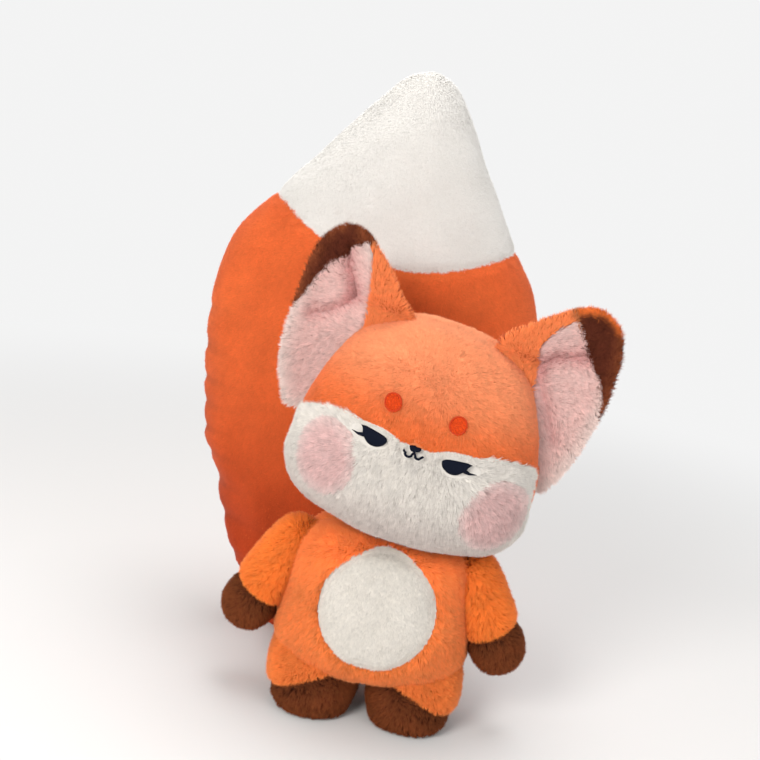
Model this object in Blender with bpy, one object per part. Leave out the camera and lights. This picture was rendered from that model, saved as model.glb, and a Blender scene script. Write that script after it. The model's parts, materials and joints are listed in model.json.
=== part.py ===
"""Plush fox with a large tail cushion, built the way it is sewn.

Metres, +Z up. The fox stands upright and faces -Y, so its right hand side is at -X. The
origin is on the floor, in the middle of the toy's bounding box. Every stuffed form is a loft
through level sections. Its fabric is a skin of constant thickness, cut into the panels that
are sewn together, round a stuffing. The forms are drawn round the torso, which is then moved
with everything on it to FOX_PLACE.
"""
import math

import bmesh
import bpy
from mathutils import Matrix, Vector

# Fabric and seams
SKIN = 0.005            # pile and backing of one layer of fur fabric
GAP = 0.0003            # left between pieces that touch
PLAY = 0.0014           # left between pieces that turn past each other
FOX_PLACE = (0.0279, -0.0816, 0.0)
STITCH_HEIGHT = 0.0016  # satin stitch above the face
STITCH_LIFT = 0.0004
FLAT_DEPTH = 0.0005     # how deep the floor flattens a sole

# Head
HEAD_CENTRE = Vector((0.017, 0.0, 0.295))
HEAD_LEAN = math.radians(9.5)      # the head is sewn on leaning towards +X
HEAD_TURN = math.radians(-3.7)     # and turned a little towards -X
FACE_SIDE_SEAM_Y = 0.002
CHEEK_CENTRES = {"left": (0.091, -0.037), "right": (-0.080, -0.031)}
CHEEK_HALF = (0.031, 0.036)
EYE_CENTRE = (0.040, 0.004)
BROW_CENTRE = (0.0314, 0.0427)
BROW_RADIUS = 0.009
NOSE_CENTRE = (0.0, 0.0091)
MOUTH_CENTRE = (0.0, 0.0047)
MOUTH_HALF = 0.0090
MOUTH_DROP = 0.0037
MOUTH_THREAD = 0.0018
MOUTH_STEPS = 11

# Neck and tail root, two stuffed balls that the neighbours are sewn round
NECK_CENTRE = Vector((0.0, 0.0, 0.197))
NECK_RADIUS = 0.036
NECK_SOCKET_RADIUS = 0.0372
ROOT_CENTRE = Vector((-0.020, 0.097, 0.095))
ROOT_RADIUS = 0.028
ROOT_SOCKET_RADIUS = 0.0290

# Torso, arms and legs
BELLY_CENTRE = (0.0, 0.127)
BELLY_HALF = (0.060, 0.061)
SHOULDER = Vector((0.094, -0.004, 0.154))
ARM_TIP = Vector((0.141, -0.008, 0.066))
ARM_PAW_LENGTH = 0.041
LEG_CENTRE_X = 0.050
HIP = Vector((0.050, -0.046, 0.050))
FOOT_TOP = 0.030                   # height of the foot seam, which drops outwards and backwards
FOOT_SEAM_SLOPE = (0.42, 0.12)

# Tail
TAIL_FOOT = Vector((-0.0879, 0.0, 0.0072))
TAIL_LEAN = math.radians(4.5)              # towards +X
TAIL_FOOT_Y = 0.143
TAIL_SLOPE = math.tan(math.radians(7.0))   # how far it leans back for each metre up
TIP_SEAM_HEIGHT = 0.430                    # of the white tip, at the middle
TIP_SEAM_RISE = 0.045                      # of that seam at the sides
TIP_SEAM_HALF = 0.140
TAIL_REACH = 0.25                          # half width of the cutters, past the tail's sides

# Facets round each form
HEAD_SIDES = 26
TORSO_SIDES = 24
TAIL_SIDES = 26
LIMB_SIDES = 16
INNER_SIDES = 16
LIMB_INNER_SIDES = 10

# How far the joints travel, used where a limb is trimmed to clear its neighbour
NECK_TURN_RANGE = (-12.0, 12.0)
HEAD_TILT_RANGE = (-9.0, 4.0)
ARM_RANGE = (-15.0, 85.0)
LEG_RANGE = (0.0, 50.0)
EAR_RANGE = (-15.0, 35.0)

# Sections of the forms: height, sideways offset, offset in Y, half width, half depth, squareness
HEAD_SECTIONS = [
    (-0.098, 0, -0.002, 0, 0, 2.2),
    (-0.0965, 0, -0.002, 0.055, 0.042, 2.2),
    (-0.090, 0, -0.002, 0.088, 0.068, 2.3),
    (-0.076, 0, -0.002, 0.113, 0.086, 2.3),
    (-0.052, 0, -0.002, 0.126, 0.096, 2.3),
    (-0.022, 0, -0.001, 0.125, 0.099, 2.3),
    (0.012, 0, 0, 0.120, 0.098, 2.3),
    (0.046, 0, 0.001, 0.110, 0.092, 2.2),
    (0.075, 0, 0.002, 0.091, 0.078, 2.2),
    (0.095, 0, 0.002, 0.066, 0.058, 2.1),
    (0.106, 0, 0.002, 0.036, 0.032, 2.0),
    (0.109, 0, 0.002, 0, 0, 2.0),
]
TORSO_SECTIONS = [
    (0.041, 0, 0, 0, 0, 2.2),
    (0.043, 0, 0, 0.060, 0.043, 2.2),
    (0.052, 0, 0, 0.087, 0.061, 2.2),
    (0.070, 0, 0, 0.098, 0.072, 2.2),
    (0.092, 0, 0, 0.098, 0.077, 2.2),
    (0.120, 0, 0, 0.095, 0.078, 2.2),
    (0.148, 0, 0, 0.090, 0.076, 2.2),
    (0.169, 0, 0, 0.085, 0.072, 2.2),
    (0.182, 0, 0, 0.074, 0.065, 2.2),
    (0.191, 0, 0, 0.055, 0.050, 2.1),
    (0.196, 0, 0, 0.031, 0.030, 2.0),
    (0.198, 0, 0, 0, 0, 2.0),
]
ARM_SECTIONS = [
    (0.000, 0, 0, 0, 0, 2.0),
    (0.003, 0, 0, 0.014, 0.013, 2.1),
    (0.011, 0, 0, 0.023, 0.021, 2.1),
    (0.026, 0, 0, 0.028, 0.025, 2.1),
    (0.050, 0, 0, 0.029, 0.026, 2.1),
    (0.076, 0, 0, 0.028, 0.026, 2.1),
    (0.102, 0, 0, 0.026, 0.025, 2.1),
    (0.124, 0, 0, 0.018, 0.018, 2.0),
    (0.134, 0, 0, 0, 0, 2.0),
]
LEG_SECTIONS = [
    (-FLAT_DEPTH, -0.001, -0.024, 0, 0, 2.1),
    (-FLAT_DEPTH * 0.8, -0.001, -0.024, 0.025, 0.031, 2.1),
    (0.003, -0.001, -0.024, 0.033, 0.040, 2.2),
    (0.012, 0, -0.023, 0.040, 0.046, 2.2),
    (0.026, 0.001, -0.021, 0.044, 0.047, 2.2),
    (0.040, 0.002, -0.016, 0.045, 0.045, 2.2),
    (0.054, 0.001, -0.011, 0.044, 0.041, 2.1),
    (0.068, 0, -0.009, 0.040, 0.035, 2.1),
    (0.080, 0, -0.007, 0.026, 0.024, 2.0),
    (0.086, 0, -0.007, 0, 0, 2.0),
]
# The tail's sections give height, half width and half thickness; its lean gives the offset in Y.
TAIL_SECTIONS = [
    (-0.0120, 0, 0),
    (-0.0115, 0.026, 0.014),
    (-0.004, 0.046, 0.022),
    (0.010, 0.059, 0.027),
    (0.030, 0.073, 0.033),
    (0.070, 0.099, 0.044),
    (0.120, 0.125, 0.055),
    (0.185, 0.152, 0.065),
    (0.255, 0.175, 0.071),
    (0.320, 0.187, 0.073),
    (0.375, 0.187, 0.072),
    (0.425, 0.173, 0.069),
    (0.475, 0.140, 0.063),
    (0.530, 0.103, 0.055),
    (0.580, 0.070, 0.044),
    (0.615, 0.043, 0.031),
    (0.635, 0.024, 0.018),
    (0.643, 0, 0),
]

# Outlines in the plane of the face, seen from the front: sideways, up
# The right ear is drawn as its mirror image. It stands a little lower than the left.
EAR_OUTLINES = {
    "left": [
        (0.040, 0.112), (0.068, 0.142), (0.085, 0.157), (0.101, 0.169), (0.119, 0.175), (0.136, 0.171),
        (0.149, 0.158), (0.156, 0.138), (0.158, 0.112), (0.158, 0.082), (0.154, 0.058), (0.150, 0.034),
        (0.144, 0.014), (0.136, -0.004), (0.125, -0.016), (0.100, 0.000), (0.060, 0.050),
    ],
    "right": [
        (0.045, 0.098), (0.065, 0.121), (0.085, 0.143), (0.102, 0.158), (0.118, 0.171), (0.138, 0.171),
        (0.155, 0.154), (0.162, 0.130), (0.164, 0.104), (0.164, 0.074), (0.164, 0.048), (0.161, 0.026),
        (0.153, 0.003), (0.138, -0.020), (0.105, -0.006), (0.062, 0.045),
    ],
}
EAR_TIP_OUTLINES = {
    "left": [
        (0.094, 0.195), (0.100, 0.163), (0.110, 0.147), (0.119, 0.136), (0.131, 0.120), (0.143, 0.108),
        (0.150, 0.092), (0.153, 0.072), (0.175, 0.062), (0.195, 0.120), (0.180, 0.190), (0.140, 0.210),
    ],
    "right": [
        (0.098, 0.190), (0.104, 0.163), (0.112, 0.158), (0.124, 0.149), (0.130, 0.138), (0.139, 0.130),
        (0.146, 0.116), (0.152, 0.100), (0.160, 0.076), (0.180, 0.070), (0.195, 0.120), (0.180, 0.190),
        (0.140, 0.210),
    ],
}
EAR_LINING_OUTLINES = {
    "left": [
        (0.101, 0.157), (0.087, 0.142), (0.078, 0.122), (0.080, 0.100), (0.088, 0.068), (0.106, 0.030),
        (0.120, -0.008), (0.130, -0.007), (0.142, 0.018), (0.147, 0.040), (0.153, 0.072), (0.150, 0.092),
        (0.143, 0.108), (0.131, 0.120), (0.119, 0.136), (0.110, 0.147),
    ],
    "right": [
        (0.110, 0.160), (0.103, 0.150), (0.097, 0.128), (0.091, 0.103), (0.090, 0.070), (0.110, 0.020),
        (0.124, -0.012), (0.137, -0.010), (0.152, 0.012), (0.159, 0.040), (0.160, 0.076), (0.152, 0.100),
        (0.146, 0.116), (0.139, 0.130), (0.130, 0.138), (0.124, 0.149),
    ],
}
EAR_CENTRE = (0.118, 0.085)
EAR_HALF_THICKNESS = 0.009
EAR_CUP = 0.012                    # how far the middle of the ear is set back from its rim
EAR_AXIS_ENDS = ((0.047, 0.109), (0.131, -0.014))
FACE_SEAM = [
    (0.000, 0.0085), (0.010, 0.0105), (0.033, 0.0170), (0.066, 0.0200), (0.090, 0.0195),
    (0.108, 0.0130), (0.118, 0.000), (0.124, -0.027), (0.150, -0.060),
]
EYE_OUTLINE = [
    (-0.0118, 0.0015), (-0.0112, -0.0012), (-0.0080, -0.0045), (-0.0020, -0.0066), (0.0050, -0.0050),
    (0.0085, -0.0015), (0.0192, -0.0006), (0.0100, 0.0026), (0.0140, 0.0070), (0.0050, 0.0060),
    (-0.0070, 0.0050),
]
NOSE_HALF = (0.0050, 0.0032)

ORANGE = (0.87, 0.235, 0.065)
FOREHEAD_ORANGE = (0.92, 0.30, 0.11)
TAIL_ORANGE = (0.80, 0.155, 0.030)
WHITE = (0.88, 0.84, 0.79)
PINK = (0.80, 0.44, 0.42)
BROWN = (0.22, 0.075, 0.028)
DARK_BROWN = (0.075, 0.026, 0.012)
NAVY = (0.007, 0.011, 0.027)
SPOT_ORANGE = (0.93, 0.095, 0.018)
FIBREFILL = (0.90, 0.90, 0.88)

HEAD_FRAME = (Matrix.Translation(HEAD_CENTRE) @ Matrix.Rotation(HEAD_LEAN, 4, "Y")
              @ Matrix.Rotation(HEAD_TURN, 4, "Z"))
TAIL_FRAME = Matrix.Translation(TAIL_FOOT) @ Matrix.Rotation(TAIL_LEAN, 4, "Y")
MIRROR_X = Matrix.Scale(-1.0, 4, (1.0, 0.0, 0.0))
BIG = 2.0                          # side of the blocks that stand for half a space
CUTTER_REACH = 0.2                 # how far a cutter reaches past the head or the torso


def clear_scene():
    for obj in list(bpy.data.objects):
        bpy.data.objects.remove(obj, do_unlink=True)


def new_collection(name, shown):
    collection = bpy.data.collections.new(name)
    bpy.context.scene.collection.children.link(collection)
    collection.hide_render = not shown
    return collection


def material(name, colour, roughness):
    mat = bpy.data.materials.new(name)
    mat.use_nodes = True
    shader = mat.node_tree.nodes["Principled BSDF"]
    shader.inputs["Base Color"].default_value = (*colour, 1.0)
    shader.inputs["Roughness"].default_value = roughness
    shader.inputs["Metallic"].default_value = 0.0
    mat.diffuse_color = (*colour, 1.0)
    return mat


def link(name, mesh, collection):
    obj = bpy.data.objects.new(name, mesh)
    collection.objects.link(obj)
    if collection is CUTTERS:
        obj.hide_render = True
        obj.display_type = "WIRE"
        obj.parent = CUTTER_ROOT
    return obj


def finish_mesh(bm, name, frame):
    """Triangles all cut alike, so that forms a fixed distance apart stay that far apart."""
    bmesh.ops.triangulate(bm, faces=bm.faces, quad_method="FIXED", ngon_method="EAR_CLIP")
    bm.transform(frame)
    bm.normal_update()
    bmesh.ops.recalc_face_normals(bm, faces=bm.faces)
    if bm.calc_volume(signed=True) < 0.0:
        bmesh.ops.reverse_faces(bm, faces=bm.faces)
    mesh = bpy.data.meshes.new(name)
    bm.to_mesh(mesh)
    bm.free()
    return mesh


def oval_ring(section, sides):
    """The points of one level section, a rounded oval."""
    height, shift_x, shift_y, half_x, half_y, squareness = section
    points = []
    for k in range(sides):
        turn = 2.0 * math.pi * k / sides
        c, s = math.cos(turn), math.sin(turn)
        x = math.copysign(abs(c) ** (2.0 / squareness), c) * half_x
        y = math.copysign(abs(s) ** (2.0 / squareness), s) * half_y
        points.append((shift_x + x, shift_y + y, height))
    return points


def join_rings(bm, rings):
    """Faces between neighbouring rings. A ring of one point is a pole."""
    rows = [[bm.verts.new(p) for p in ring] for ring in rings]
    for low, high in zip(rows, rows[1:]):
        count = max(len(low), len(high))
        for k in range(count):
            following = (k + 1) % count
            if len(low) == 1:
                bm.faces.new((low[0], high[k], high[following]))
            elif len(high) == 1:
                bm.faces.new((low[k], low[following], high[0]))
            else:
                bm.faces.new((low[k], low[following], high[following], high[k]))


def loft(name, sections, sides, frame, grow=0.0):
    """A stuffed form through level sections, its surface moved out by grow."""
    rings = [[oval_ring(sections[0], 1)[0]]]
    rings += [oval_ring(section, sides) for section in sections[1:-1]]
    rings += [[oval_ring(sections[-1], 1)[0]]]
    bm = bmesh.new()
    join_rings(bm, rings)
    bmesh.ops.recalc_face_normals(bm, faces=bm.faces)
    bm.normal_update()
    for vert, normal in [(v, v.normal.copy()) for v in bm.verts]:
        vert.co += normal * grow
    return link(name, finish_mesh(bm, name, frame), CUTTERS)


def smooth_outline(points, steps):
    """A closed outline that curves through its points."""
    count = len(points)
    curve = []
    for k in range(count):
        p0, p1, p2, p3 = (Vector(points[(k + j - 1) % count]) for j in range(4))
        for step in range(steps):
            t = step / steps
            curve.append(
                0.5 * (2.0 * p1 + (p2 - p0) * t + (2.0 * p0 - 5.0 * p1 + 4.0 * p2 - p3) * t * t
                       + (3.0 * p1 - p0 - 3.0 * p2 + p3) * t * t * t)
            )
    return curve


def oval_outline(centre, half, count):
    turns = [2.0 * math.pi * k / count for k in range(count)]
    return [(centre[0] + half[0] * math.cos(t), centre[1] + half[1] * math.sin(t)) for t in turns]


def grown_outline(points, grow):
    """The outline moved outwards by grow, for a cutter that leaves a seam gap."""
    count = len(points)
    area = sum(points[k][0] * points[(k + 1) % count][1] - points[(k + 1) % count][0] * points[k][1]
               for k in range(count))
    side = math.copysign(1.0, area)
    moved = []
    for k in range(count):
        before, here, after = (Vector(points[(k + j) % count][:2]) for j in (-1, 0, 1))
        run = (after - before).normalized()
        moved.append((here.x + side * run.y * grow, here.y - side * run.x * grow))
    return moved


def prism(name, outline, near, far, frame):
    """An outline in X and Z, extruded along Y from near to far."""
    bm = bmesh.new()
    face = bm.faces.new([bm.verts.new((p[0], near, p[1])) for p in outline])
    extruded = bmesh.ops.extrude_face_region(bm, geom=[face])["geom"]
    verts = [item for item in extruded if isinstance(item, bmesh.types.BMVert)]
    bmesh.ops.translate(bm, vec=(0.0, far - near, 0.0), verts=verts)
    return link(name, finish_mesh(bm, name, frame), CUTTERS)


def half_space(name, point, normal):
    """A large block whose face lies at point and looks along normal."""
    bm = bmesh.new()
    bmesh.ops.create_cube(bm, size=BIG)
    bmesh.ops.translate(bm, vec=(0.0, 0.0, -BIG / 2.0), verts=bm.verts)
    turn = Vector(normal).to_track_quat("Z", "Y").to_matrix().to_4x4()
    return link(name, finish_mesh(bm, name, Matrix.Translation(point) @ turn), CUTTERS)


def ball(name, centre, radius):
    bm = bmesh.new()
    bmesh.ops.create_icosphere(bm, subdivisions=3, radius=radius)
    return link(name, finish_mesh(bm, name, Matrix.Translation(centre)), CUTTERS)


def turned_copy(obj, name, point, axis, degrees):
    """A copy of a cutter, turned about a joint's axis."""
    copy = link(name, obj.data.copy(), CUTTERS)
    about = Matrix.Translation(point) @ Matrix.Rotation(math.radians(degrees), 4, axis)
    copy.data.transform(about @ Matrix.Translation(-point))
    return copy


def boolean(obj, operation, cutter):
    mod = obj.modifiers.new(operation.title(), "BOOLEAN")
    mod.operation = operation
    mod.solver = "EXACT"
    mod.object = cutter
    return obj


def cut(obj, *cutters):
    for cutter in cutters:
        boolean(obj, "DIFFERENCE", cutter)
    return obj


def keep(obj, *cutters):
    for cutter in cutters:
        boolean(obj, "INTERSECT", cutter)
    return obj


def piece(name, form, mat, body):
    """A visible sub-part that starts as a copy of a form."""
    obj = link(name, form.data.copy(), FOX)
    obj.data.materials.clear()
    obj.data.materials.append(mat)
    attach(obj, body)
    return obj


def attach(obj, body):
    """Hangs a piece on the empty that stands on its body's joint."""
    empty = BODIES[body]
    offset = Matrix.Translation(-empty.matrix_world.translation)
    obj.data.transform(offset)
    obj.parent = empty


def body_empty(name, point, parent=None):
    empty = bpy.data.objects.new(name + "_joint", None)
    empty.empty_display_size = 0.02
    FOX.objects.link(empty)
    empty.location = point
    if parent:
        empty.parent = BODIES[parent]
        empty.location = Vector(point) - BODIES[parent].matrix_world.translation
    bpy.context.view_layer.update()
    BODIES[name] = empty


def side_frame(side):
    """The identity on the fox's +X side, and a mirror on its -X side."""
    return Matrix.Identity(4) if side == "left" else MIRROR_X


def sign(side):
    return 1.0 if side == "left" else -1.0


def inner_sections(sections):
    """Every other section, for the plainer surface where skin and stuffing meet."""
    return [sections[0], *sections[2:-1:2], sections[-1]]


def tail_sections():
    sections = []
    for height, half_width, half_depth in TAIL_SECTIONS:
        lean = TAIL_FOOT_Y + height * TAIL_SLOPE
        sections.append((height, 0.0, lean, half_width, half_depth, 1.9))
    return sections


def make_head():
    outer = loft("head_form", HEAD_SECTIONS, HEAD_SIDES, HEAD_FRAME)
    inner = loft("head_form_inner", inner_sections(HEAD_SECTIONS), INNER_SIDES, HEAD_FRAME, -SKIN)
    filling = loft("head_form_filling", inner_sections(HEAD_SECTIONS), INNER_SIDES, HEAD_FRAME, -SKIN - GAP)
    socket = ball("neck_socket", NECK_CENTRE, NECK_SOCKET_RADIUS)

    seam = HEAD_FRAME @ Vector((0.0, FACE_SIDE_SEAM_Y, 0.0))
    ahead = HEAD_FRAME.to_3x3() @ Vector((0.0, 1.0, 0.0))
    front = half_space("head_front_half", seam + ahead * GAP / 2.0, ahead)
    rear = half_space("head_rear_half", seam - ahead * GAP / 2.0, -ahead)
    below = [(0.150, -CUTTER_REACH), (-0.150, -CUTTER_REACH)]
    face_outline = [(-x, z) for x, z in reversed(FACE_SEAM[1:])] + FACE_SEAM + below
    face = prism("face_cutter", face_outline, -CUTTER_REACH, 0.1, HEAD_FRAME)
    wide = grown_outline(face_outline, GAP)
    face_grown = prism("face_cutter_grown", wide, -CUTTER_REACH, 0.1, HEAD_FRAME)

    cheeks, cheeks_grown = [], []
    for side in ("left", "right"):
        outline = oval_outline(CHEEK_CENTRES[side], CHEEK_HALF, 16)
        cheeks.append(prism("cheek_cutter_" + side, outline, -CUTTER_REACH, -0.02, HEAD_FRAME))
        wide = grown_outline(outline, GAP)
        name = "cheek_cutter_grown_" + side
        cheeks_grown.append(prism(name, wide, -CUTTER_REACH, GAP - 0.02, HEAD_FRAME))

    orange, fur_orange = material("forehead_fur", FOREHEAD_ORANGE, 0.85), material("head_fur", ORANGE, 0.85)
    cut(piece("head_forehead", outer, orange, "head"), inner, rear, face_grown, socket)
    cut(piece("head_back", outer, fur_orange, "head"), inner, front, socket)
    keep(cut(piece("head_face", outer, material("face_fur", WHITE, 0.85), "head"), inner, rear, socket,
             *cheeks_grown), face)
    pink = material("cheek_fur", PINK, 0.85)
    for side, cutter in zip(("left", "right"), cheeks):
        keep(cut(piece("cheek_patch_" + side, outer, pink, "head"), inner, rear), cutter)
    cut(piece("head_stuffing", filling, material("head_fibrefill", FIBREFILL, 0.95), "head"), socket)

    under = loft("head_form_stitch_under", HEAD_SECTIONS, HEAD_SIDES, HEAD_FRAME, STITCH_LIFT)
    over = loft("head_form_stitch_over", HEAD_SECTIONS, HEAD_SIDES, HEAD_FRAME, STITCH_LIFT + STITCH_HEIGHT)

    def stitched(name, outline, mat, top=over):
        flat = prism(name + "_outline", outline, -CUTTER_REACH, -0.05, HEAD_FRAME)
        cut(keep(piece(name, flat, mat, "head"), top), under)
        bpy.data.objects.remove(flat, do_unlink=True)

    navy = material("eye_thread", NAVY, 0.45)
    spots = material("brow_thread", SPOT_ORANGE, 0.55)
    for side in ("left", "right"):
        s = sign(side)
        eye = [(s * (EYE_CENTRE[0] + x), EYE_CENTRE[1] + z) for x, z in EYE_OUTLINE]
        stitched("eye_" + side, eye, navy)
        brow = oval_outline((s * BROW_CENTRE[0], BROW_CENTRE[1]), (BROW_RADIUS, BROW_RADIUS), 14)
        stitched("brow_spot_" + side, brow, spots)
    nose = oval_outline(NOSE_CENTRE, NOSE_HALF, 12)
    domed = loft("head_form_nose", HEAD_SECTIONS, HEAD_SIDES, HEAD_FRAME, 0.003)
    stitched("nose", nose, material("nose_thread", NAVY, 0.45), domed)
    make_mouth(over, under)


def make_mouth(over, under):
    """Two small stitched curves that meet under the nose, as one flat outline."""
    top, bottom = [], []
    for k in range(MOUTH_STEPS + 1):
        across = 2.0 * k / MOUTH_STEPS - 1.0
        z = MOUTH_CENTRE[1] - MOUTH_DROP * abs(math.sin(math.pi * across))
        top.append((across * MOUTH_HALF, z + MOUTH_THREAD / 2.0))
        bottom.append((across * MOUTH_HALF, z - MOUTH_THREAD / 2.0))
    flat = prism("mouth_outline", top + bottom[::-1], -CUTTER_REACH, -0.05, HEAD_FRAME)
    cut(keep(piece("mouth", flat, material("mouth_thread", NAVY, 0.45), "head"), over), under)
    bpy.data.objects.remove(flat, do_unlink=True)


def ear_frame(side):
    return HEAD_FRAME @ side_frame(side)


def ear_form(name, side, shift):
    """A cupped plate. Its rings run from the middle of the front over the rim to the back."""
    outline = smooth_outline(EAR_OUTLINES[side], 2)
    spreads = (0.0, 0.55, 0.88, 1.0)
    rings = []
    for front in (True, False):
        for spread in spreads if front else reversed(spreads[:-1]):
            half = EAR_HALF_THICKNESS * math.sqrt(max(0.0, 1.0 - spread ** 6))
            y = EAR_CUP * (1.0 - spread ** 2) + (-half if front else half) + shift
            if spread == 0.0:
                rings.append([(EAR_CENTRE[0], y, EAR_CENTRE[1])])
                continue
            rings.append([
                (EAR_CENTRE[0] + (p[0] - EAR_CENTRE[0]) * spread, y,
                 EAR_CENTRE[1] + (p[1] - EAR_CENTRE[1]) * spread) for p in outline
            ])
    bm = bmesh.new()
    join_rings(bm, rings)
    return link(name, finish_mesh(bm, name, ear_frame(side)), CUTTERS)


def ear_axis(side):
    a, b = (ear_frame(side) @ Vector((x, 0.0, z)) for x, z in EAR_AXIS_ENDS)
    return a, (b - a).normalized()


def make_ear(side):
    plate = ear_form("ear_form_" + side, side, 0.0)
    behind = ear_form("ear_form_behind_" + side, side, SKIN)
    frame = ear_frame(side)
    tip_outline = EAR_TIP_OUTLINES[side]
    tip = prism("ear_tip_cutter_" + side, tip_outline, -0.05, 0.06, frame)
    tip_grown = prism("ear_tip_cutter_grown_" + side, grown_outline(tip_outline, GAP), -0.05, 0.06, frame)
    lining_outline = EAR_LINING_OUTLINES[side]
    lining = prism("ear_lining_cutter_" + side, lining_outline, -0.05, 0.03, frame)
    pocket = prism("ear_pocket_cutter_" + side, grown_outline(lining_outline, GAP), -0.05, 0.03, frame)
    cut(pocket, ear_form("ear_form_pocket_" + side, side, SKIN + GAP))

    point, axis = ear_axis(side)
    trims = [loft("head_form_ear_" + side, HEAD_SECTIONS, HEAD_SIDES, HEAD_FRAME, 0.0006)]
    turn = -1.0 if side == "left" else 1.0
    for degrees in EAR_RANGE:
        name = "ear_trim_{}_{:.0f}".format(side, degrees)
        trims.append(turned_copy(trims[0], name, point, axis, turn * degrees))
    body = "ear_" + side
    fur = material(body + "_fur", ORANGE, 0.85)
    cut(piece(body + "_back", plate, fur, body), tip_grown, pocket, *trims)
    cut(keep(piece(body + "_lining", plate, material(body + "_pink", PINK, 0.85), body), lining),
        behind, tip_grown, *trims)
    cut(keep(piece(body + "_tip", plate, material(body + "_dark", DARK_BROWN, 0.85), body), tip), *trims)


def make_torso():
    here = Matrix.Identity(4)
    outer = loft("torso_form", TORSO_SECTIONS, TORSO_SIDES, here)
    inner = loft("torso_form_inner", inner_sections(TORSO_SECTIONS), INNER_SIDES, here, -SKIN)
    filling = loft("torso_form_filling", inner_sections(TORSO_SECTIONS), INNER_SIDES, here, -SKIN - GAP)
    neck = ball("neck_socket_low", NECK_CENTRE, NECK_SOCKET_RADIUS)
    root = ball("root_socket", ROOT_CENTRE, ROOT_SOCKET_RADIUS)
    front = half_space("torso_front_half", (0.0, GAP / 2.0, 0.1), (0.0, 1.0, 0.0))
    rear = half_space("torso_rear_half", (0.0, -GAP / 2.0, 0.1), (0.0, -1.0, 0.0))
    outline = oval_outline(BELLY_CENTRE, BELLY_HALF, 24)
    belly = prism("belly_cutter", outline, -CUTTER_REACH, -0.01, here)
    belly_grown = prism("belly_cutter_grown", grown_outline(outline, GAP), -CUTTER_REACH, -0.01, here)
    head = loft("head_form_torso", HEAD_SECTIONS, HEAD_SIDES, HEAD_FRAME, PLAY)
    bowl = []
    for tilt in HEAD_TILT_RANGE:
        tilted = turned_copy(head, "torso_trim_{:.0f}".format(tilt), NECK_CENTRE, "Y", tilt)
        bowl += [turned_copy(tilted, "torso_trim_{:.0f}_{:.0f}".format(tilt, turn), NECK_CENTRE, "Z", turn)
                 for turn in (NECK_TURN_RANGE[0], 0.0, NECK_TURN_RANGE[1])]
    orange = material("torso_fur", ORANGE, 0.85)
    cut(piece("torso_front", outer, orange, "torso"), inner, rear, belly_grown, neck, *bowl)
    cut(piece("torso_back", outer, orange, "torso"), inner, front, neck, root, *bowl)
    keep(cut(piece("belly_panel", outer, material("belly_fur", WHITE, 0.85), "torso"), inner, rear), belly)
    cut(piece("torso_stuffing", filling, material("torso_fibrefill", FIBREFILL, 0.95), "torso"), neck, root)


def limb_pieces(body, forms, names, trims, seams, mats, end_trims):
    """Skin above a seam and at the limb's end, and the stuffing, trimmed by what they meet."""
    outer, inner, filling = forms
    above, below = seams
    cut(piece(names[0], outer, mats[0], body), *trims, inner, below)
    cut(piece(names[1], outer, mats[1], body), inner, above, *end_trims)
    cut(piece(names[2], filling, mats[2], body), *trims)


def limb_forms(body, sections, frame):
    outer = loft(body + "_form", sections, LIMB_SIDES, frame)
    inner = loft(body + "_form_inner", inner_sections(sections), LIMB_INNER_SIDES, frame, -SKIN)
    filling = loft(body + "_form_filling", inner_sections(sections), LIMB_INNER_SIDES, frame, -SKIN - GAP)
    return outer, inner, filling


def make_arm(side):
    body = "arm_" + side
    mirror = side_frame(side)
    tip, shoulder = ARM_TIP, SHOULDER
    along = (shoulder - tip).normalized()
    turn = along.to_track_quat("Z", "Y").to_matrix().to_4x4()
    frame = mirror @ Matrix.Translation(tip) @ turn
    forms = limb_forms(body, ARM_SECTIONS, frame)
    trims = [loft("torso_form_" + body, TORSO_SECTIONS, TORSO_SIDES, Matrix.Identity(4), PLAY)]
    point = mirror @ shoulder
    low, high = ARM_RANGE
    for degrees in (low, high * 0.22, high * 0.44, high * 0.72, high):
        name = "{}_trim_{:.0f}".format(body, degrees)
        trims.append(turned_copy(trims[0], name, point, "X", degrees))
    wrist = frame @ Vector((0.0, 0.0, ARM_PAW_LENGTH))
    up = (frame.to_3x3() @ Vector((0.0, 0.0, 1.0))).normalized()
    above = half_space(body + "_above", wrist + up * GAP / 2.0 * -1.0, -up)
    below = half_space(body + "_below", wrist + up * GAP / 2.0, up)
    mats = (material(body + "_fur", ORANGE, 0.85), material(body + "_paw_fur", BROWN, 0.85),
            material(body + "_fibrefill", FIBREFILL, 0.95))
    names = (body + "_sleeve", "paw_" + side, body + "_stuffing")
    limb_pieces(body, forms, names, trims, (above, below), mats, trims)


def make_leg(side, floor):
    body = "leg_" + side
    mirror = side_frame(side)
    frame = mirror @ Matrix.Translation((LEG_CENTRE_X, 0.0, 0.0))
    forms = limb_forms(body, LEG_SECTIONS, frame)
    trims = [loft("torso_form_" + body, TORSO_SECTIONS, TORSO_SIDES, Matrix.Identity(4), PLAY)]
    point = mirror @ HIP
    for part in (0.33, 0.66, 1.0):
        degrees = LEG_RANGE[1] * part
        name = "{}_trim_{:.0f}".format(body, degrees)
        trims.append(turned_copy(trims[0], name, point, "X", degrees))
    seam = mirror @ Vector((LEG_CENTRE_X, 0.0, FOOT_TOP))
    slant = Vector((sign(side) * FOOT_SEAM_SLOPE[0], FOOT_SEAM_SLOPE[1], 1.0)).normalized()
    above = half_space(body + "_above", seam - slant * GAP / 2.0, -slant)
    below = half_space(body + "_below", seam + slant * GAP / 2.0, slant)
    mats = (material(body + "_fur", ORANGE, 0.85), material(body + "_foot_fur", BROWN, 0.85),
            material(body + "_fibrefill", FIBREFILL, 0.95))
    names = (body + "_upper", "foot_" + side, body + "_stuffing")
    limb_pieces(body, forms, names, trims, (above, below), mats, (*trims, floor))


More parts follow.
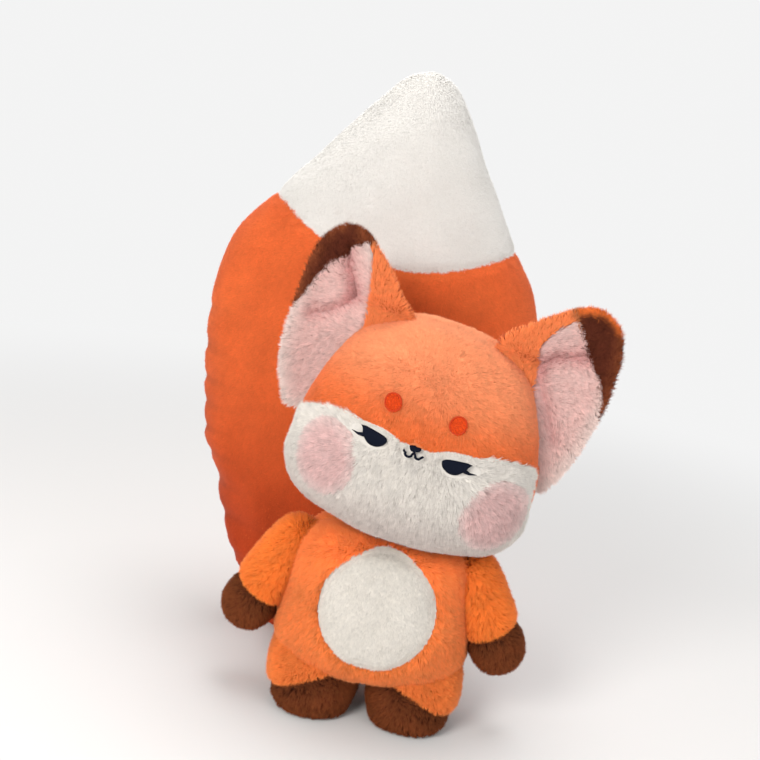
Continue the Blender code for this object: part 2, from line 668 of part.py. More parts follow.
def make_tail(floor):
    sections = tail_sections()
    outer = loft("tail_form", sections, TAIL_SIDES, TAIL_FRAME)
    inner = loft("tail_form_inner", inner_sections(sections), INNER_SIDES, TAIL_FRAME, -SKIN)
    filling = loft("tail_form_filling", inner_sections(sections), INNER_SIDES, TAIL_FRAME, -SKIN - GAP)
    root = ball("root_socket_tail", ROOT_CENTRE, ROOT_SOCKET_RADIUS)
    foot = TAIL_FRAME @ Vector((0.0, TAIL_FOOT_Y, 0.0))
    slant = (TAIL_FRAME.to_3x3() @ Vector((0.0, 1.0, -TAIL_SLOPE))).normalized()
    front = half_space("tail_front_half", foot + slant * GAP / 2.0, slant)
    rear = half_space("tail_rear_half", foot - slant * GAP / 2.0, -slant)
    seam = []
    for k in range(17):
        x = (k / 8.0 - 1.0) * TAIL_REACH
        seam.append((x, TIP_SEAM_HEIGHT + TIP_SEAM_RISE * (x / TIP_SEAM_HALF) ** 2))
    high = [(TAIL_REACH, 0.9), (-TAIL_REACH, 0.9)]
    low = [(TAIL_REACH, -0.1), (-TAIL_REACH, -0.1)]
    lifted = [(x, z + GAP) for x, z in seam]
    tip = prism("tail_tip_cutter", lifted + high, -TAIL_REACH, 0.5, TAIL_FRAME)
    base = prism("tail_base_cutter", seam + low, -TAIL_REACH, 0.5, TAIL_FRAME)
    orange, white = material("tail_fur", TAIL_ORANGE, 0.85), material("tail_tip_fur", WHITE, 0.85)
    cut(keep(piece("tail_front", outer, orange, "tail"), base), inner, rear, root, floor)
    cut(keep(piece("tail_back", outer, orange, "tail"), base), inner, front, floor)
    cut(keep(piece("tail_tip_front", outer, white, "tail"), tip), inner, rear)
    cut(keep(piece("tail_tip_back", outer, white, "tail"), tip), inner, front)
    cut(piece("tail_stuffing", filling, material("tail_fibrefill", FIBREFILL, 0.95), "tail"), root, floor)


def make_neck_and_root():
    neck = ball("neck_ball", NECK_CENTRE, NECK_RADIUS)
    piece("neck_stuffing", neck, material("neck_fabric", ORANGE, 0.9), "neck")
    root = ball("root_ball", ROOT_CENTRE, ROOT_RADIUS)
    piece("tail_root", root, material("root_fabric", TAIL_ORANGE, 0.9), "tail_root")


clear_scene()
FOX = new_collection("plush_fox", True)
CUTTERS = new_collection("cutters", False)
CUTTER_ROOT = bpy.data.objects.new("cutter_root", None)
CUTTERS.objects.link(CUTTER_ROOT)
BODIES = {}

body_empty("torso", (0.0, 0.0, 0.0))
body_empty("neck", NECK_CENTRE, "torso")
body_empty("head", NECK_CENTRE, "neck")
for SIDE in ("left", "right"):
    body_empty("ear_" + SIDE, ear_axis(SIDE)[0], "head")
    body_empty("arm_" + SIDE, side_frame(SIDE) @ SHOULDER, "torso")
    body_empty("leg_" + SIDE, side_frame(SIDE) @ HIP, "torso")
body_empty("tail_root", ROOT_CENTRE, "torso")
body_empty("tail", ROOT_CENTRE, "tail_root")

FLOOR = half_space("floor", (0.0, 0.0, 0.0), (0.0, 0.0, 1.0))
make_head()
make_torso()
make_neck_and_root()
for SIDE in ("left", "right"):
    make_ear(SIDE)
    make_arm(SIDE)
    make_leg(SIDE, FLOOR)
make_tail(FLOOR)
BODIES["torso"].location = FOX_PLACE
CUTTER_ROOT.location = FOX_PLACE
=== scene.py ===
"""Looks of the plush fox: seamed skins, fur, embroidery, materials, floor, light and camera.

Metres, +Z up, the fox faces -Y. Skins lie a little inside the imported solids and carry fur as
real strands, so that the tips end just outside them.
"""
import json
import math

import bpy
import numpy as np
from mathutils import Matrix, Vector
from mathutils.bvhtree import BVHTree
from mathutils.kdtree import KDTree

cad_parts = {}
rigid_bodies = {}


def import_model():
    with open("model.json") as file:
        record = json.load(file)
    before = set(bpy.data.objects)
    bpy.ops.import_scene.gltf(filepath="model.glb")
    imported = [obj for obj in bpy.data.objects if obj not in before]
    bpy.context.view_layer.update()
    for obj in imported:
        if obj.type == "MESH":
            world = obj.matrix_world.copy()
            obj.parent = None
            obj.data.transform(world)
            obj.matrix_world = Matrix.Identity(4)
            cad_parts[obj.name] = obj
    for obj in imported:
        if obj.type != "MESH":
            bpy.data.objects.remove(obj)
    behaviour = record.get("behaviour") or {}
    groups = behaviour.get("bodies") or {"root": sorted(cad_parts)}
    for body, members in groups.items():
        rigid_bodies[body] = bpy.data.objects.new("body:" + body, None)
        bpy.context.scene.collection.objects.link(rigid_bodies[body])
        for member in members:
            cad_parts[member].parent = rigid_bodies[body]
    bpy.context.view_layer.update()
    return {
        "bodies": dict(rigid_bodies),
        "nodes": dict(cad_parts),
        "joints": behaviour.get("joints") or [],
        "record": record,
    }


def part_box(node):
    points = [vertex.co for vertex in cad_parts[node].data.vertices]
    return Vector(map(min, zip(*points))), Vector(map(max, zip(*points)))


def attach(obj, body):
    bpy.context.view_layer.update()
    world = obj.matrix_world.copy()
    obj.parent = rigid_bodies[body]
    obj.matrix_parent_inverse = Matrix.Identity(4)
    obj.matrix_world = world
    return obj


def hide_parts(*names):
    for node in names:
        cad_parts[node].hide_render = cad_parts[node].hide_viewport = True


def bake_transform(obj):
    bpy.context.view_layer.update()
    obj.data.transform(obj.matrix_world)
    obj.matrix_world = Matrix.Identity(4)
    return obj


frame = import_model()

RNG = np.random.default_rng(7)
INSET = 0.003                     # how far the cloth lies inside the outer surface of the fur
LOWEST = 0.0006                   # strands stay this far above the floor
IMAGE = 760                       # pixels, the frame is square

# The same frames and sections as the solids have, drawn round the torso, which stands here
FOX_PLACE = np.array((0.0279, -0.0816, 0.0))
HEAD_CENTRE = (0.017, 0.0, 0.295)
HEAD_FRAME = np.array(Matrix.Translation(HEAD_CENTRE) @ Matrix.Rotation(math.radians(9.5), 4, "Y")
                      @ Matrix.Rotation(math.radians(-3.7), 4, "Z"))
TAIL_FRAME = np.array(Matrix.Translation((-0.0879, 0.0, 0.0072))
                      @ Matrix.Rotation(math.radians(4.5), 4, "Y"))
# Each row of a form: height, shift in X and Y, half width in X and Y, and how square its outline is
HEAD_SECTIONS = [
    (-0.098, 0, -0.002, 0, 0, 2.2), (-0.0965, 0, -0.002, 0.055, 0.042, 2.2),
    (-0.090, 0, -0.002, 0.088, 0.068, 2.3), (-0.076, 0, -0.002, 0.113, 0.086, 2.3),
    (-0.052, 0, -0.002, 0.126, 0.096, 2.3), (-0.022, 0, -0.001, 0.125, 0.099, 2.3),
    (0.012, 0, 0, 0.120, 0.098, 2.3), (0.046, 0, 0.001, 0.110, 0.092, 2.2),
    (0.075, 0, 0.002, 0.091, 0.078, 2.2), (0.095, 0, 0.002, 0.066, 0.058, 2.1),
    (0.106, 0, 0.002, 0.036, 0.032, 2.0), (0.109, 0, 0.002, 0, 0, 2.0),
]
TORSO_SECTIONS = [
    (0.041, 0, 0, 0, 0, 2.2), (0.043, 0, 0, 0.060, 0.043, 2.2), (0.052, 0, 0, 0.087, 0.061, 2.2),
    (0.070, 0, 0, 0.098, 0.072, 2.2), (0.092, 0, 0, 0.098, 0.077, 2.2),
    (0.120, 0, 0, 0.095, 0.078, 2.2), (0.148, 0, 0, 0.090, 0.076, 2.2),
    (0.169, 0, 0, 0.085, 0.072, 2.2), (0.182, 0, 0, 0.074, 0.065, 2.2),
    (0.191, 0, 0, 0.055, 0.050, 2.1), (0.196, 0, 0, 0.031, 0.030, 2.0), (0.198, 0, 0, 0, 0, 2.0),
]
ARM_SECTIONS = [
    (0.000, 0, 0, 0, 0, 2.0), (0.003, 0, 0, 0.014, 0.013, 2.1), (0.011, 0, 0, 0.023, 0.021, 2.1),
    (0.026, 0, 0, 0.028, 0.025, 2.1), (0.050, 0, 0, 0.029, 0.026, 2.1),
    (0.076, 0, 0, 0.028, 0.026, 2.1), (0.102, 0, 0, 0.026, 0.025, 2.1),
    (0.124, 0, 0, 0.018, 0.018, 2.0), (0.134, 0, 0, 0, 0, 2.0),
]
LEG_SECTIONS = [
    (0.000, -0.001, -0.024, 0, 0, 2.1), (0.0003, -0.001, -0.024, 0.025, 0.031, 2.1),
    (0.003, -0.001, -0.024, 0.033, 0.040, 2.2), (0.012, 0, -0.023, 0.040, 0.046, 2.2),
    (0.026, 0.001, -0.021, 0.044, 0.047, 2.2), (0.040, 0.002, -0.016, 0.045, 0.045, 2.2),
    (0.054, 0.001, -0.011, 0.044, 0.041, 2.1), (0.068, 0, -0.009, 0.040, 0.035, 2.1),
    (0.080, 0, -0.007, 0.026, 0.024, 2.0), (0.086, 0, -0.007, 0, 0, 2.0),
]
# Height, half width and half thickness of the tail
TAIL_PROFILE = [
    (-0.0120, 0, 0), (-0.0115, 0.026, 0.014), (-0.004, 0.046, 0.022), (0.010, 0.059, 0.027),
    (0.030, 0.073, 0.033), (0.070, 0.099, 0.044), (0.120, 0.125, 0.055), (0.185, 0.152, 0.065),
    (0.255, 0.175, 0.071), (0.320, 0.187, 0.073), (0.375, 0.187, 0.072), (0.425, 0.173, 0.069),
    (0.475, 0.140, 0.063), (0.530, 0.103, 0.055), (0.580, 0.070, 0.044), (0.615, 0.043, 0.031),
    (0.635, 0.024, 0.018), (0.643, 0, 0),
]
TAIL_FOOT_Y = 0.143
TAIL_SLOPE = math.tan(math.radians(7.0))
TIP_SEAM_HEIGHT, TIP_SEAM_RISE, TIP_SEAM_HALF = 0.430, 0.045, 0.140
# Outlines in X and Z of the head's frame, where the right ear's are drawn mirrored
EAR_OUTLINES = {
    "left": [
        (0.040, 0.112), (0.068, 0.142), (0.085, 0.157), (0.101, 0.169), (0.119, 0.175), (0.136, 0.171),
        (0.149, 0.158), (0.156, 0.138), (0.158, 0.112), (0.158, 0.082), (0.154, 0.058), (0.150, 0.034),
        (0.144, 0.014), (0.136, -0.004), (0.125, -0.016), (0.100, 0.000), (0.060, 0.050),
    ],
    "right": [
        (0.045, 0.098), (0.065, 0.121), (0.085, 0.143), (0.102, 0.158), (0.118, 0.171), (0.138, 0.171),
        (0.155, 0.154), (0.162, 0.130), (0.164, 0.104), (0.164, 0.074), (0.164, 0.048), (0.161, 0.026),
        (0.153, 0.003), (0.138, -0.020), (0.105, -0.006), (0.062, 0.045),
    ],
}
EAR_TIP_SEAMS = {
    "left": [(0.110, 0.147), (0.119, 0.136), (0.131, 0.120), (0.143, 0.108), (0.150, 0.092),
             (0.153, 0.072)],
    "right": [(0.124, 0.149), (0.130, 0.138), (0.139, 0.130), (0.146, 0.116), (0.152, 0.100),
              (0.160, 0.076)],
}
EAR_TIP_OUTLINES = {
    "left": [(0.094, 0.195), (0.100, 0.163), *EAR_TIP_SEAMS["left"], (0.175, 0.062), (0.195, 0.120),
             (0.180, 0.190), (0.140, 0.210)],
    "right": [(0.098, 0.190), (0.104, 0.163), (0.112, 0.158), *EAR_TIP_SEAMS["right"], (0.180, 0.070),
              (0.195, 0.120), (0.180, 0.190), (0.140, 0.210)],
}
EAR_LINING_OUTLINES = {
    "left": [(0.101, 0.157), (0.087, 0.142), (0.078, 0.122), (0.080, 0.100), (0.088, 0.068), (0.106, 0.030),
             (0.120, -0.008), (0.130, -0.007), (0.142, 0.018), (0.147, 0.040),
             *EAR_TIP_SEAMS["left"][::-1]],
    "right": [(0.110, 0.160), (0.103, 0.150), (0.097, 0.128), (0.091, 0.103), (0.090, 0.070), (0.110, 0.020),
              (0.124, -0.012), (0.137, -0.010), (0.152, 0.012), (0.159, 0.040),
              *EAR_TIP_SEAMS["right"][::-1]],
}
PAST_RIM = 0.025                  # the lining's outline runs on past the rim at the lower outer side
# Where each ear's lining is folded: the line of the fold, and how deep the groove along it is
EAR_FOLDS = {
    "left": (([(0.084, 0.104), (0.092, 0.114), (0.104, 0.120), (0.122, 0.128)], 0.0045),
             ([(0.080, 0.100), (0.095, 0.077), (0.107, 0.062), (0.119, 0.044)], 0.0025)),
    "right": (([(0.126, 0.150), (0.122, 0.135), (0.113, 0.122), (0.107, 0.108)], 0.0045),
              ([(0.107, 0.108), (0.113, 0.096), (0.124, 0.086), (0.142, 0.079)], 0.0030)),
}
EAR_CENTRE = np.array((0.118, 0.085))
EAR_HALF_THICKNESS = 0.009
EAR_CUP = 0.012
EAR_ROOT = (0.085, 0.03)          # the middle of the line where the ear is sewn on
SIDE_SEAM_Y = 0.002               # where the head's front and back panels meet
STRIP_DEPTH = 0.024               # how far forward that seam comes below the ear on the fox's left
# A low ridge along the top of the forehead
CREST = [(-0.069, 0.058), (-0.055, 0.068), (-0.038, 0.074), (-0.020, 0.073), (-0.004, 0.066), (0.008, 0.055)]
CREST_HEIGHT, CREST_WIDTH = 0.0026, 0.010
FACE_SEAM = [
    (0.000, 0.0085), (0.010, 0.0105), (0.033, 0.0170), (0.066, 0.0200), (0.090, 0.0195),
    (0.108, 0.0130), (0.118, 0.000), (0.124, -0.027), (0.131, -0.060), (0.135, -0.100),
]
# The seam hangs a little lower on the fox's right
FACE_SEAM_RIGHT = [
    *FACE_SEAM[:2], (0.033, 0.0155), (0.066, 0.0150), (0.090, 0.0100), (0.108, 0.0020), (0.118, -0.008),
    (0.124, -0.030), *FACE_SEAM[-2:],
]
CHEEKS = {"left": (0.087, -0.031), "right": (-0.0745, -0.0305)}
CHEEK_HALF = (0.0295, 0.034)
EYE_CENTRE = (0.040, 0.004)
BROW_CENTRE, BROW_RADIUS = (0.0314, 0.0412), 0.0082
BROW_SHIFT = -0.002
NOSE_CENTRE = (0.0, 0.0091)
# Centres and half sizes of what is embroidered, where no fur grows
EYE_AREA = EYE_CENTRE, (0.0145, 0.0088)
LASH_AREA = (0.0555, 0.0045), (0.0075, 0.0055)
NOSE_AREA = NOSE_CENTRE, (0.0064, 0.0046)
MOUTH_AREA = (0.0046, 0.0024), (0.0062, 0.0038)
BELLY_CENTRE, BELLY_HALF = (0.0025, 0.127), (0.0575, 0.061)
SHOULDER, ARM_TIP = Vector((0.094, -0.004, 0.154)), Vector((0.141, -0.008, 0.066))
ARM_PAW_LENGTH = 0.041
LEG_CENTRE_X, FOOT_TOP, FOOT_SEAM_SLOPE = 0.050, 0.030, (0.42, 0.12)
SIDES = (("left", 1.0), ("right", -1.0))

ORANGE = (0.93, 0.208, 0.041)
LIMB_ORANGE = (1.0, 0.205, 0.022)
FOREHEAD = (0.91, 0.265, 0.098)
# A lighter orange painted on top of the head as painted light
CROWN_PAINTED_LIGHT = (0.96, 0.325, 0.145)
# A deeper orange painted lower on the forehead towards the seam as painted shade, also used on the back of
# the head
SEAM_ORANGE = (0.8463, 0.14352, 0.02501)
EAR_ORANGE = (0.9405, 0.24895, 0.0774)
TAIL_ORANGE = (0.87, 0.17, 0.042)
# Darker orange for the lower tail: painted shade
LOW_TAIL_PAINTED_SHADE = (0.5742, 0.0629, 0.01302)
WHITE = (0.82, 0.775, 0.715)
TIP_WHITE = (0.885, 0.862, 0.825)
BELLY_WHITE = (0.83, 0.785, 0.715)
PINK = (0.75, 0.47, 0.445)
LINING_PINK = (0.875, 0.535, 0.495)
PALE_PINK = (0.8475, 0.655, 0.605)
BROWN = (0.118, 0.025, 0.008)
BROWN_TIP = (0.37, 0.108, 0.032)
ORANGE_TIP = (1.0, 0.42, 0.17)
DARK_BROWN = (0.088, 0.018, 0.0105)
FRINGE = (0.36, 0.095, 0.033)
NAVY = (0.003, 0.005, 0.014)
SPOT = (1.0, 0.10, 0.014)
SPOT_RIM = (0.52, 0.045, 0.012)


# Forms

def spline(points, steps):
    """A smooth curve from the second point to the last but one, which it leaves out."""
    out = []
    for k in range(1, len(points) - 2):
        p0, p1, p2, p3 = points[k - 1:k + 3]
        for step in range(steps):
            t = step / steps
            out.append(0.5 * (2 * p1 + (p2 - p0) * t + (2 * p0 - 5 * p1 + 4 * p2 - p3) * t ** 2
                              + (3 * p1 - p0 - 3 * p2 + p3) * t ** 3))
    return out


def curve_through(rows, steps):
    """Rows joined by a smooth curve. The first and last row are poles, so it turns over there."""
    rows = np.array(rows, float)
    before, after = rows[1].copy(), rows[-2].copy()
    before[3:5] *= -1.0
    after[3:5] *= -1.0
    return np.array(spline(np.vstack([before, rows, after]), steps) + [rows[-1]])


def closed_curve(points, steps):
    points = np.array(points, float)
    return np.array(spline(np.vstack([points[-1:], points, points[:2]]), steps))


def rings_to_mesh(rings):
    """Triangles between rings of equal length; the first and last ring are single points."""
    sides = len(rings[1])
    verts = np.vstack([rings[0][:1], *rings[1:-1], rings[-1][:1]])
    k = np.arange(sides)
    following = (k + 1) % sides
    tris = [np.stack([np.zeros(sides, int), 1 + following, 1 + k], 1)]
    for row in range(len(rings) - 3):
        low, high = 1 + row * sides, 1 + (row + 1) * sides
        tris.append(np.stack([low + k, low + following, high + following], 1))
        tris.append(np.stack([low + k, high + following, high + k], 1))
    last, low = len(verts) - 1, 1 + (len(rings) - 3) * sides
    tris.append(np.stack([low + k, low + following, np.full(sides, last)], 1))
    return verts, np.vstack(tris)


def columns(*values):
    """Rows made of columns, where a plain number is the same in every row."""
    return np.stack(np.broadcast_arrays(*values), 1)


def level(p):
    return p[:, [0, 2]]


def unit(vectors):
    return vectors / np.maximum(np.linalg.norm(vectors, axis=-1), 1e-12)[..., None]


def form(sections, steps, sides):
    rings = []
    turn = 2.0 * np.pi * np.arange(sides) / sides
    c, s = np.cos(turn), np.sin(turn)
    for height, shift_x, shift_y, half_x, half_y, square in curve_through(sections, steps):
        x = np.sign(c) * np.abs(c) ** (2.0 / square) * half_x
        y = np.sign(s) * np.abs(s) ** (2.0 / square) * half_y
        rings.append(columns(shift_x + x, shift_y + y, height))
    return rings_to_mesh(rings)


def vertex_normals(verts, tris):
    a, b, c = verts[tris[:, 0]], verts[tris[:, 1]], verts[tris[:, 2]]
    face = np.cross(b - a, c - a)
    normals = np.zeros_like(verts)
    for k in range(3):
        for axis in range(3):
            normals[:, axis] += np.bincount(tris[:, k], face[:, axis], len(verts))
    return unit(normals)


def moved(points, matrix):
    matrix = np.array(matrix)
    return points @ matrix[:3, :3].T + matrix[:3, 3]


def placed(mesh, matrix, mirrored=False):
    """A mesh moved by a matrix. One that mirrors it also turns its faces over, so they are turned back."""
    return moved(mesh[0], matrix), mesh[1][:, ::-1] if mirrored else mesh[1]


def waves(points, size, seed, count=9):
    """Smooth noise from -1 to 1 with features of about this size."""
    rng = np.random.default_rng(seed)
    total = np.zeros(len(points))
    for _ in range(count):
        way = rng.normal(size=3)
        way /= np.linalg.norm(way)
        pitch = size * rng.uniform(0.7, 1.6)
        total += np.sin(points @ way * (2 * np.pi / pitch) + rng.uniform(0, 2 * np.pi))
    return total / math.sqrt(count) * 0.8


def wander(way, p, size, seed, by):
    """Directions that stray a little over the surface."""
    return unit(way + waves(p, size, seed)[:, None] * by)


def groove(distance, depth, width):
    return -depth * np.exp(-(distance / width) ** 2)


def smooth_step(value, low, high):
    t = np.clip((value - low) / (high - low), 0.0, 1.0)
    return t * t * (3.0 - 2.0 * t)


def nearest(points, targets):
    """The index of the target nearest to each point, and the distance to it."""
    tree = KDTree(len(targets))
    for k, target in enumerate(targets):
        tree.insert(target, k)
    tree.balance()
    found = np.array([tree.find(p)[1:] for p in points])
    return found[:, 0].astype(int), found[:, 1]


def split(verts, tris, value):
    """Cuts a mesh along value = 0. Returns (verts, tris) above and below."""
    sign = value > 0.0
    sides = sign[tris]
    made, extra = {}, []

    def middle(i, j):
        key = (min(i, j), max(i, j))
        if key not in made:
            t = value[i] / (value[i] - value[j])
            made[key] = len(verts) + len(extra)
            extra.append(verts[i] + (verts[j] - verts[i]) * t)
        return made[key]

    halves = [[tris[~sides.any(1)]], [tris[sides.all(1)]]]
    for tri in tris[sides.any(1) & ~sides.all(1)]:
        flags = sign[tri]
        half = int(flags.sum() == 1)
        lone = int(np.flatnonzero(flags == half)[0])
        a, b, c = (int(tri[(lone + k) % 3]) for k in range(3))
        ab, ac = middle(a, b), middle(a, c)
        halves[half].append([[a, ab, ac]])
        halves[1 - half].append([[ab, b, c], [ab, c, ac]])
    every = np.vstack([verts, *extra])
    down, up = (compact(every, np.vstack(half)) for half in halves)
    return up, down


def compact(verts, tris):
    used, index = np.unique(tris, return_inverse=True)
    return verts[used], index.reshape(tris.shape)


def add_object(name, data):
    obj = bpy.data.objects.new(name, data)
    bpy.context.scene.collection.objects.link(obj)
    return obj


def make_object(name, verts, tris, mat, body, bend=None, normals=None):
    """A mesh in the fox's frame, which rides on a body, or with bend is left in the world unattached."""
    mesh = bpy.data.meshes.new(name)
    mesh.vertices.add(len(verts))
    mesh.vertices.foreach_set("co", np.asarray(verts + FOX_PLACE, np.float32).ravel())
    mesh.loops.add(len(tris) * 3)
    mesh.loops.foreach_set("vertex_index", np.asarray(tris, np.int32).ravel())
    mesh.polygons.add(len(tris))
    mesh.polygons.foreach_set("loop_start", np.arange(len(tris), dtype=np.int32) * 3)
    mesh.update(calc_edges=True)
    mesh.validate()
    mesh.shade_smooth()
    if normals is not None:
        mesh.normals_split_custom_set_from_vertices(normals.tolist())
    mesh.materials.append(mat)
    obj = add_object(name, mesh)
    if bend:
        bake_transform(obj)
    else:
        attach(obj, body)
    return obj


# Materials

def set_inputs(node, values):
    for key, value in values.items():
        node.inputs[key].default_value = value
    return node


def principled(name, roughness, sheen):
    mat = bpy.data.materials.new(name)
    mat.use_nodes = True
    shader = set_inputs(mat.node_tree.nodes["Principled BSDF"], {
        "Roughness": roughness, "Sheen Weight": sheen, "Sheen Roughness": 0.5, "Specular IOR Level": 0.1})
    return mat, shader, mat.node_tree.nodes, mat.node_tree.links


def mottle(shader, nodes, links, scale, detail, places, tones):
    """The shader's colour follows noise, from the first tone to the second."""
    noise = set_inputs(nodes.new("ShaderNodeTexNoise"), {"Scale": scale, "Detail": detail})
    ramp = nodes.new("ShaderNodeValToRGB")
    for end, place, tone in zip(ramp.color_ramp.elements, places, tones):
        end.position = place
        end.color = (*tone, 1.0)
    links.new(noise.outputs["Fac"], ramp.inputs["Fac"])
    links.new(ramp.outputs["Color"], shader.inputs["Base Color"])


def cloth(name, colour, dark=0.80):
    """Backing cloth seen between the strands: mottled, rough, a little darker than the fur as painted shade
    deep in the pile.
    """
    mat, shader, nodes, links = principled(name, 0.95, 0.1)
    weave = set_inputs(nodes.new("ShaderNodeTexNoise"), {"Scale": 420.0, "Detail": 4.0})
    bump = set_inputs(nodes.new("ShaderNodeBump"), {"Distance": 0.0008, "Strength": 0.6})
    links.new(weave.outputs["Fac"], bump.inputs["Height"])
    links.new(bump.outputs["Normal"], shader.inputs["Normal"])
    tones = [[c * dark * part for c in colour] for part in (0.92, 1.0)]
    mottle(shader, nodes, links, 55.0, 6.0, (0.3, 0.7), tones)
    return mat


def fur_material(name, roughness=0.8, sheen=0.12):
    """The strands carry their own colour from root to tip."""
    mat, shader, nodes, links = principled(name, roughness, sheen)
    tint = nodes.new("ShaderNodeAttribute")
    tint.attribute_name = "tint"
    links.new(tint.outputs["Color"], shader.inputs["Base Color"])
    return mat


def thread(name, colour):
    mat, shader, nodes, links = principled(name, 0.7, 0.0)
    tones = [[min(1.0, c * part) for c in colour] for part in (0.7, 1.35)]
    mottle(shader, nodes, links, 900.0, 2.0, (0.0, 1.0), tones)
    return mat


def mix(first, second, share):
    """Colours between two, a share for each point."""
    share = share[:, None]
    return np.asarray(first) * (1.0 - share) + np.asarray(second) * share


def uneven(colour, share, p, size, seed):
    return np.asarray(colour) * (1.0 + share * waves(p, size, seed))[:, None]


# Fur

def scatter(verts, tris, per_cm2):
    """Random points on a mesh, with smooth normals."""
    normals = vertex_normals(verts, tris)
    a, b, c = verts[tris[:, 0]], verts[tris[:, 1]], verts[tris[:, 2]]
    area = np.linalg.norm(np.cross(b - a, c - a), axis=1) / 2.0
    count = int(area.sum() * 1e4 * per_cm2)
    pick = np.searchsorted(np.cumsum(area) / area.sum(), RNG.random(count))
    pick = np.minimum(pick, len(tris) - 1)
    u, v = RNG.random(count), RNG.random(count)
    flip = u + v > 1.0
    u[flip], v[flip] = 1.0 - u[flip], 1.0 - v[flip]
    weights = columns(1.0 - u - v, u, v)[..., None]
    corners = tris[pick]
    points, normal = ((field[corners] * weights).sum(1) for field in (verts, normals))
    return points, unit(normal)


def fur(name, body, points, normals, comb, length, width, colour, slot, mat=None, frame=None,
        lean=(48.0, 74.0), clump=14, gather=0.28, spread=0.35, root_shade=0.86, vary=0.06, soft=0.82,
        frost=0.06, tip_colour=(1.0, 1.0, 1.0), limit=60000, bend=None):
    """Strands of three triangles each, or of one where clump is 0, shaded mostly like the skin.

    They are swept a little to the back, since a strand that points at the viewer shows its dark side."""
    mat = mat or fur_material(name)
    if frame is not None:
        turn = frame[:3, :3].T
        points, normals, comb = moved(points, frame), normals @ turn, comb @ turn
    count = len(points)
    length = length * RNG.uniform(0.78, 1.12, count)
    comb = comb + [0.0, 0.5, 0.0]
    flow = comb - normals * np.sum(comb * normals, 1)[:, None]
    flow = unit(flow + RNG.normal(size=(count, 3)) * spread)
    flow = unit(flow - normals * np.sum(flow * normals, 1)[:, None])
    low, high = (np.radians(a + RNG.normal(size=count) * 8.0) for a in lean)
    first = normals * np.cos(low)[:, None] + flow * np.sin(low)[:, None]
    second = normals * np.cos(high)[:, None] + flow * np.sin(high)[:, None]
    mid = points + first * (length * 0.5)[:, None]
    tip = mid + second * (length * 0.5)[:, None]
    shade = 1.0 + RNG.normal(size=count) * vary * 0.6
    if clump:
        centres = np.arange(0, count, clump)
        near = nearest(points, points[centres])[0]
        reach = gather * RNG.uniform(0.6, 1.1, count)
        pull = tip[centres][near] - tip
        tip = tip + pull * reach[:, None]
        mid = mid + pull * (reach * 0.4)[:, None]
        shade = shade + (RNG.normal(size=len(centres)) * vary)[near]
    colour = np.asarray(colour) * np.clip(shade, 0.6, 1.35)[:, None]
    half = unit(np.cross(first, normals) + normals * RNG.normal(size=count)[:, None] * 0.12) * (width * 0.5)
    if clump:
        ring = np.stack([points - half, points + half, mid - half * 0.8, mid + half * 0.8, tip], 1)
        local = np.array([[0, 1, 3], [0, 3, 2], [2, 3, 4]])
        beside, along = np.array([[0.1, 0.9, 0.1, 0.9, 0.5], [0.0, 0.0, 0.5, 0.5, 1.0]])
    else:
        ring = np.stack([points - half, points + half, tip], 1)
        local = np.array([[0, 1, 2]])
        beside, along = np.array([[0.1, 0.9, 0.5], [0.0, 0.0, 1.0]])
    ring[..., 2] = np.maximum(ring[..., 2], LOWEST)
    face = unit(np.cross(ring[:, 1] - ring[:, 0], ring[:, -1] - ring[:, 0]))
    wrong = np.sum(face * normals, 1) < 0.0
    for k in range(0, len(along) - 1, 2):
        ring[wrong, k], ring[wrong, k + 1] = ring[wrong, k + 1], ring[wrong, k]
    face[wrong] *= -1.0
    shading = unit(normals * soft + face * (1.0 - soft))
    # Roots darker than tips: partly painted shade deep in the pile, partly the strands' own darker roots
    light = root_shade + (1.0 - root_shade) * along ** 0.8
    parts = max(1, math.ceil(count / limit))
    for part in range(parts):
        chosen = np.arange(part, count, parts)
        n, k = len(chosen), ring.shape[1]
        tris = (local[None] + (np.arange(n) * k)[:, None, None]).reshape(-1, 3)
        title = name if parts == 1 else f"{name}_{part + 1}"
        obj = make_object(title, ring[chosen].reshape(-1, 3), tris, mat, body, bend,
                          np.repeat(shading[chosen], k, axis=0))
        tint = np.ones((n, k, 4), np.float32)
        tint[..., :3] = colour[chosen][:, None, :] * light[None, :, None]
        tint[..., :3] += (np.array(tip_colour) - tint[..., :3]) * frost * (along ** 2)[None, :, None]
        layer = obj.data.attributes.new("tint", "FLOAT_COLOR", "POINT")
        layer.data.foreach_set("color", tint.ravel())
        grid = math.ceil(math.sqrt(n))
        origin = np.stack([np.arange(n) % grid, np.arange(n) // grid], 1)
        uv = ((origin[:, None, :] + 0.1 + columns(beside, along)[None] * 0.8) / grid)[:, local.ravel()]
        uv_layer = obj.data.uv_layers.new(name="OFBake")
        uv_layer.uv.foreach_set("vector", uv.astype(np.float32).ravel())


def skin(name, mesh, mat, body, nodes, bend=None):
    """Cloth that takes the place of the named solids."""
    obj = make_object(name, *mesh, mat, body, bend)
    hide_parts(*nodes)


def ellipse(p, centre, half, both=True):
    """Below zero inside an ellipse in the face's plane, and inside its mirror image."""
    across = np.abs(p[:, 0]) if both else p[:, 0]
    return (np.hypot((across - centre[0]) / half[0], (p[:, 2] - centre[1]) / half[1]) - 1.0) * min(half)


def brow_place(s):
    return s * BROW_CENTRE[0] + BROW_SHIFT, BROW_CENTRE[1]


def brow_spots(p):
    half = (BROW_RADIUS - 0.0005, BROW_RADIUS - 0.0005)
    return np.minimum(*(ellipse(p, brow_place(s), half, False) for s in (-1.0, 1.0)))


def cheeks(p):
    return np.minimum(*(ellipse(p, centre, CHEEK_HALF, False) for centre in CHEEKS.values()))


